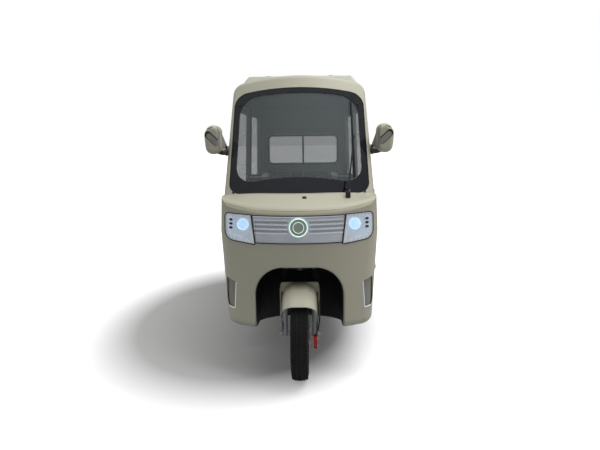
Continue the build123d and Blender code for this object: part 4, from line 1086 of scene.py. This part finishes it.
RAIL_BOLTS = [(d, 256) for d in (410, 470, 760, 920, 1300, 1470)] + [(d, 370) for d in (1720, 2190)]
chassis_bolts = [(at(side * 250, d, z), Vector((side, 0, 0))) for side in (1, -1) for d, z in RAIL_BOLTS]
piece("chassis_bolts", studs(chassis_bolts, 8, 7, 7, 6), STEEL)

# U-bolts over the axle that clamp the leaves, with their plates and nuts
clips, clip_nuts = [], []
for x in (-245, -215, 215, 245):
    for d in (WHEELBASE - 34, WHEELBASE + 34):
        clips.append(tube([at(x, d, z) for z in (212, 316)], 5))
        clip_nuts.append((at(x, d, 312), UP))
clips += [block(at(x, WHEELBASE, z), (52, 92, 7), 2) for x in (-230, 230) for z in (309, 212)]
piece("spring_clips", joined(*clips), STEEL)
piece("spring_clip_nuts", studs(clip_nuts, 8, 8, 8, 6), STEEL)
drum_bolts = [(round_rear_wheel(side * 319, 70, 60 * step), Vector((-side, 0, 0)))
              for side in (1, -1) for step in range(6)]
piece("drum_bolts", studs(drum_bolts, 6, 5, 5, 6), STEEL)
motor_end = at(20, WHEELBASE - 250, AXLE_HEIGHT)
motor_fins = [turned([(d, 71.5), (d, 76), (d + 4, 76), (d + 4, 71.5)], motor_end, "Y", 48)
              for d in range(8, 130, 12)]
piece("motor_fins", joined(*motor_fins), FRAME)
CABLE_RUN = ((1700, 290), (1672, 300), (1655, 350), (1668, 398))
cables = [tube(eased([at(20 + x, d, z) for d, z in CABLE_RUN]), 5) for x in (-22, 0, 22)]
piece("motor_cables", joined(*cables), BLACK)
line_right = [at(120, 1912, 282), at(260, 1905, 285), at(318, 1930, 300)]
line_left = [at(-318, 1930, 300), at(-260, 1905, 285), at(-120, 1912, 282)]
piece("rear_brake_line", tube(eased(line_left + [at(0, 1880, 342)] + line_right), 3), STEEL)


# Cabin

dash_skin = Skin("dashboard")
dash_seams = [tube(dash_skin.line([(a, 935), (b, 935)], BACK, 0.2, step=30), 1.6, sides=6)
              for a, b in ((-380, -52), (52, 380))]
piece("dash_seams", joined(*dash_seams), SEAL)
vents = []
for x in (-300, 300):
    hit = dash_skin.touch(seen(x, 905, BACK), BACK)
    vents.append(turned([(-3, 26), (-3, 33), (5, 33), (7, 29), (5, 26)], hit, "Y", 40))
    for height in range(-18, 19, 9):
        wide = 2 * math.sqrt(28**2 - height**2)
        vents.append(block(hit + Vector((0, 0.002, mm(height))), (wide, 4, 2.4), 0.8))
piece("dash_vents", joined(*vents), DARK)
dash_buttons = [block(dash_skin.touch(seen(x, 905, BACK), BACK, 1), (20, 7, 12), 2)
                for x in (-190, -162, -134, 134, 162, 190)]
piece("dash_buttons", joined(*dash_buttons), DARK)
bars = [Skin("instrument_display").patch(capsule((x, z), (x + w, z), h), BACK, 0.3, 1, 12)
        for x, z, w, h in ((-52, 1034, 34, 12), (18, 1034, 30, 5), (18, 1022, 22, 5), (-52, 1006, 96, 4))]
piece("display_readout", joined(*bars), READOUT)
bellows = [row for k in range(7) for row in ((8 * k, 40), (8 * k + 4, 33))]
boot = turned([(56, 22), (-2, 22), (-2, 36)] + bellows, ORIGIN, "Z", 40)
piece("column_boot", stand(boot, on_column(0, 640), column_up), SEAL)
pedal = joined(tube(eased([at(150, 398, 470), at(150, 420, 400), at(150, 452, 352)]), 7),
               block(at(150, 462, 350), (64, 10, 56), 4, (-32, 0, 0)))
piece("brake_pedal", pedal, BLACK)
pad_ribs = [block(at(150, 468.5, 350) + Vector((0, -0.53, -0.85)) * mm(8 * k), (56, 3, 4), 1, (-32, 0, 0))
            for k in (-2, -1, 0, 1, 2)]
piece("brake_pedal_pad", joined(*pad_ribs), SEAL)
for obj, name, low, high, rows, way in (
        (driver_cushion, "driver_cushion", 770, 1100, (-110, 0, 110), DOWN),
        (bench_cushion, "bench_cushion", 1712, 2070, (-270, -135, 0, 135, 270), DOWN),
        (driver_back, "driver_back", 640, 950, (-100, 0, 100), AHEAD),
        (bench_back, "bench_back", 640, 1000, (-270, -135, 0, 135, 270), AHEAD)):
    seat_skin = Skin(obj.data)
    runs = [seat_skin.line([(row, low), (row, high)], way, -0.6, step=14, back=1.8) for row in rows]
    piece(f"{name}_piping", joined(*[tube(run, 2.2, sides=6) for run in runs]), THREAD)
straps = [block(at(x, 1910, 487), (34, 428, 141), 4) for x in (-190, 190)]
piece("battery_straps", joined(*straps), FRAME)


# Steering

def leg_boot(side):
    folds = [row for k in range(11) for row in ((4 + 11 * k, 23), (9 + 11 * k, 19))]
    boot = turned([(0, 16), *folds, (124, 16), (124, 15.5), (0, 15.5)], ORIGIN, "Z", 32)
    return stand(boot, on_column(side * LEG_X, 216, FORK_LEAD), column_up)


def axle_plate(side):
    return slab([(-22, -26), (22, -26), (18, 62), (-18, 62)],
                lambda a, b, t: at(side * (104 + t), a, AXLE_HEIGHT + b), 3, 1)


piece("fork_boots", both(leg_boot), SEAL, "steering")
axle_nuts = [(at(side * 108, 0, AXLE_HEIGHT), Vector((side, 0, 0))) for side in (1, -1)]
piece("axle_nuts", studs(axle_nuts, 13, 12, 9, 6), STEEL, "steering")
piece("axle_plates", both(axle_plate), ALLOY, "steering")
hose = eased([at(84, -72, 256), at(104, -70, 300), at(116, -10, 380), on_column(112, 250, FORK_LEAD + 22),
              on_column(84, 390, FORK_LEAD + 8), on_column(34, 450, 22)])
piece("brake_hose", tube(hose, 4), BLACK, "steering")
caliper_bolts = [(at(98, -86, z), Vector((1, 0, 0))) for z in (244, 208)]
piece("caliper_bolts", studs(caliper_bolts, 6, 5, 5, 6), STEEL, "steering")
clamp_places = [on_column(-LEG_X, 374, FORK_LEAD), on_column(LEG_X, 374, FORK_LEAD), on_column(0, 375, 26)]
piece("clamp_bolts", studs([(place, column_up) for place in clamp_places], 12, 10, 8, 6), STEEL, "steering")


def fender_bead():
    """Rolled edge along the fender's front."""
    half = [(46, 279.5, 58), (89, 252, 48), (97, 205, 0)]
    rows = rounded([(-x, r, bend) for x, r, bend in reversed(half)] + half)
    turn = math.radians(41)
    return tube([at(x, -r * math.sin(turn), AXLE_HEIGHT + r * math.cos(turn)) for x, r in rows], 2.6)


piece("fender_bead", fender_bead(), BODY, "steering")
BAR_ALONG = 880
bar_d = TRAIL + BAR_ALONG * math.sin(RAKE)
bar_z = AXLE_HEIGHT + BAR_ALONG * math.cos(RAKE)


def on_grip(side, along):
    """A place on the handlebar's end run, from its tip inwards, and the way inwards."""
    tip, inner = at(side * 345, bar_d + 150, bar_z + 26), at(side * 168, bar_d + 112, bar_z + 34)
    run = (inner - tip).normalized()
    return tip + run * mm(along), run


def grip_ring(profile, side, along, close=True):
    return stand(turned(profile, ORIGIN, "Z", 28, close), *on_grip(side, along))


rib_profile = [(-2, 16.5), (-1.4, 18.6), (1.4, 18.6), (2, 16.5)]
cap_profile = [(-6, 0.5), (-6, 12), (-3, 15), (4, 15), (4, 0.5)]
grip_ribs = [grip_ring(rib_profile, side, 8 + 8 * k) for side in (1, -1) for k in range(11)]
piece("grip_ribs", joined(*grip_ribs), SEAL, "steering")
piece("grip_caps", both(lambda side: grip_ring(cap_profile, side, -4, False)), STEEL, "steering")
buttons, knobs, cables = [], [], []
switch_up = (UP + AHEAD * 0.9).normalized()
for side in (1, -1):
    place, run = on_grip(side, 121)
    knobs.append((place + switch_up * mm(27), switch_up))
    buttons += [(place + run * mm(along) + switch_up * mm(25), switch_up) for along in (12, -12)]
    place = on_grip(side, 150)[0]
    for k in (0, 1):
        run = [place + UP * mm(-8 - 8 * k), at(side * (120 - 14 * k), bar_d + 60, bar_z - 6),
               on_column(side * (26 + 6 * k), 800, 16), on_column(side * (24 + 6 * k), 700, 18)]
        cables.append(tube(eased(run), 3.4))
piece("switch_buttons", studs(buttons, 5, 4, 6, 12), BLACK, "steering")
piece("switch_knobs", studs(knobs, 8, 7, 7, 16), KNOB, "steering")
piece("control_cables", joined(*cables), BLACK, "steering")


# Stage, light and camera

# The floor's brightness as a light source and as the camera sees it, and its half width in metres
FLOOR_BOUNCE = 0.4
FLOOR_SEEN = 0.6
FLOOR_REACH = 60
# Where the floor is left darker around the vehicle as a painted shadow, beside the real cast shadow, and
# where it fades to white
PAINTED_SHADOW_CENTRE = (-0.45, -0.15, 0)
PAINTED_SHADOW_SPREAD = (0.87, 1.1, 1)
PAINTED_SHADOW_FADE = (0.85, 1.5)
PICTURE_WIDTH = 600
SENSOR_WIDTH = 36
FOCAL_PIXELS = 488


def stage_floor():
    """A wide white floor that glows for the camera outside a painted shadow ellipse, inside which it renders
    darker.
    """
    shape = bmesh.new()
    bmesh.ops.create_grid(shape, x_segments=1, y_segments=1, size=FLOOR_REACH)
    obj = placed("studio_floor", mesh_of(shape))
    backdrop = Finish("studio floor", (236, 236, 235), 0.9)
    seen_by = backdrop.seen_by_camera()
    albedo = backdrop.range(seen_by, 0, 1, FLOOR_BOUNCE, FLOOR_SEEN)
    drift = backdrop.range(backdrop.noise(0.7), 0.3, 0.7, 0.98, 1.02)
    backdrop.join(backdrop.maths("MULTIPLY", albedo, drift), backdrop.shader.inputs["Base Color"])
    painted_shadow_spot = backdrop.nodes.new("ShaderNodeMapping")
    painted_shadow_spot.vector_type = "TEXTURE"
    painted_shadow_spot.inputs["Location"].default_value = PAINTED_SHADOW_CENTRE
    painted_shadow_spot.inputs["Scale"].default_value = PAINTED_SHADOW_SPREAD
    backdrop.join(backdrop.place, painted_shadow_spot.inputs["Vector"])
    reach = backdrop.nodes.new("ShaderNodeVectorMath")
    reach.operation = "LENGTH"
    backdrop.join(painted_shadow_spot.outputs[0], reach.inputs[0])
    # Painted shadow: inside this ellipse the camera-only glow fades out, so the floor renders darker there
    # than the floor beyond
    clear = backdrop.range(reach.outputs["Value"], *PAINTED_SHADOW_FADE, 0, 1)
    backdrop.join(backdrop.maths("MULTIPLY", clear, seen_by), backdrop.shader.inputs["Emission Strength"])
    backdrop.put("Emission Color", (1, 1, 1, 1))
    backdrop.put("Specular IOR Level", 0)
    obj.data.materials.append(backdrop.material)


def studio_world(low, high):
    """A dome that brightens upwards, seen white by the camera."""
    world = bpy.data.worlds.new("studio")
    bpy.context.scene.world = world
    world.use_nodes = True
    dome = Nodes(world.node_tree)
    split = dome.nodes.new("ShaderNodeSeparateXYZ")
    dome.join(dome.nodes.new("ShaderNodeTexCoord").outputs["Generated"], split.inputs[0])
    level = dome.nodes.new("ShaderNodeMix")
    dome.join(dome.seen_by_camera(), level.inputs["Factor"])
    dome.join(dome.range(split.outputs["Z"], -0.1, 0.95, low, high, "SMOOTHSTEP"), level.inputs["A"])
    level.inputs["B"].default_value = 1
    dome.join(level.outputs[0], dome.nodes["Background"].inputs["Strength"])
    dome.nodes["Background"].inputs["Color"].default_value = (1, 1, 1, 1)


def soft_lamp(name, place, aim, size, power):
    data = bpy.data.lights.new(name, "AREA")
    data.shape = "RECTANGLE"
    data.size, data.size_y = size
    data.energy = power
    obj = placed(name, data)
    obj.location = place
    obj.rotation_euler = (Vector(aim) - Vector(place)).to_track_quat("-Z", "Y").to_euler()
    obj.visible_glossy = False


def photo_camera():
    """Stands 2.8 m ahead of the front axle at 1.38 m, level, its picture shifted down."""
    data = bpy.data.cameras.new("photo")
    data.sensor_width = SENSOR_WIDTH
    data.lens = FOCAL_PIXELS / PICTURE_WIDTH * SENSOR_WIDTH
    data.shift_y = -90 / PICTURE_WIDTH
    obj = placed("photo", data)
    obj.location = at(69, -2800, 1382)
    yaw = Euler((math.radians(90), 0, math.radians(1.13))).to_matrix()
    obj.rotation_euler = (yaw @ Euler((0, 0, math.radians(-0.71))).to_matrix()).to_euler()
    bpy.context.scene.camera = obj


stage_floor()
studio_world(0.08, 0.62)
soft_lamp("overhead", (1.6, -0.9, 4.6), (0, 0, 0.6), (3.4, 4.0), 165)
soft_lamp("left side", (-4.4, -0.2, 2.4), (0, -0.2, 1.2), (3.0, 2.2), 34)
soft_lamp("right side", (4.4, -0.2, 2.4), (0, -0.2, 1.2), (3.0, 2.2), 30)
photo_camera()
bpy.context.scene.view_settings.view_transform = "Standard"
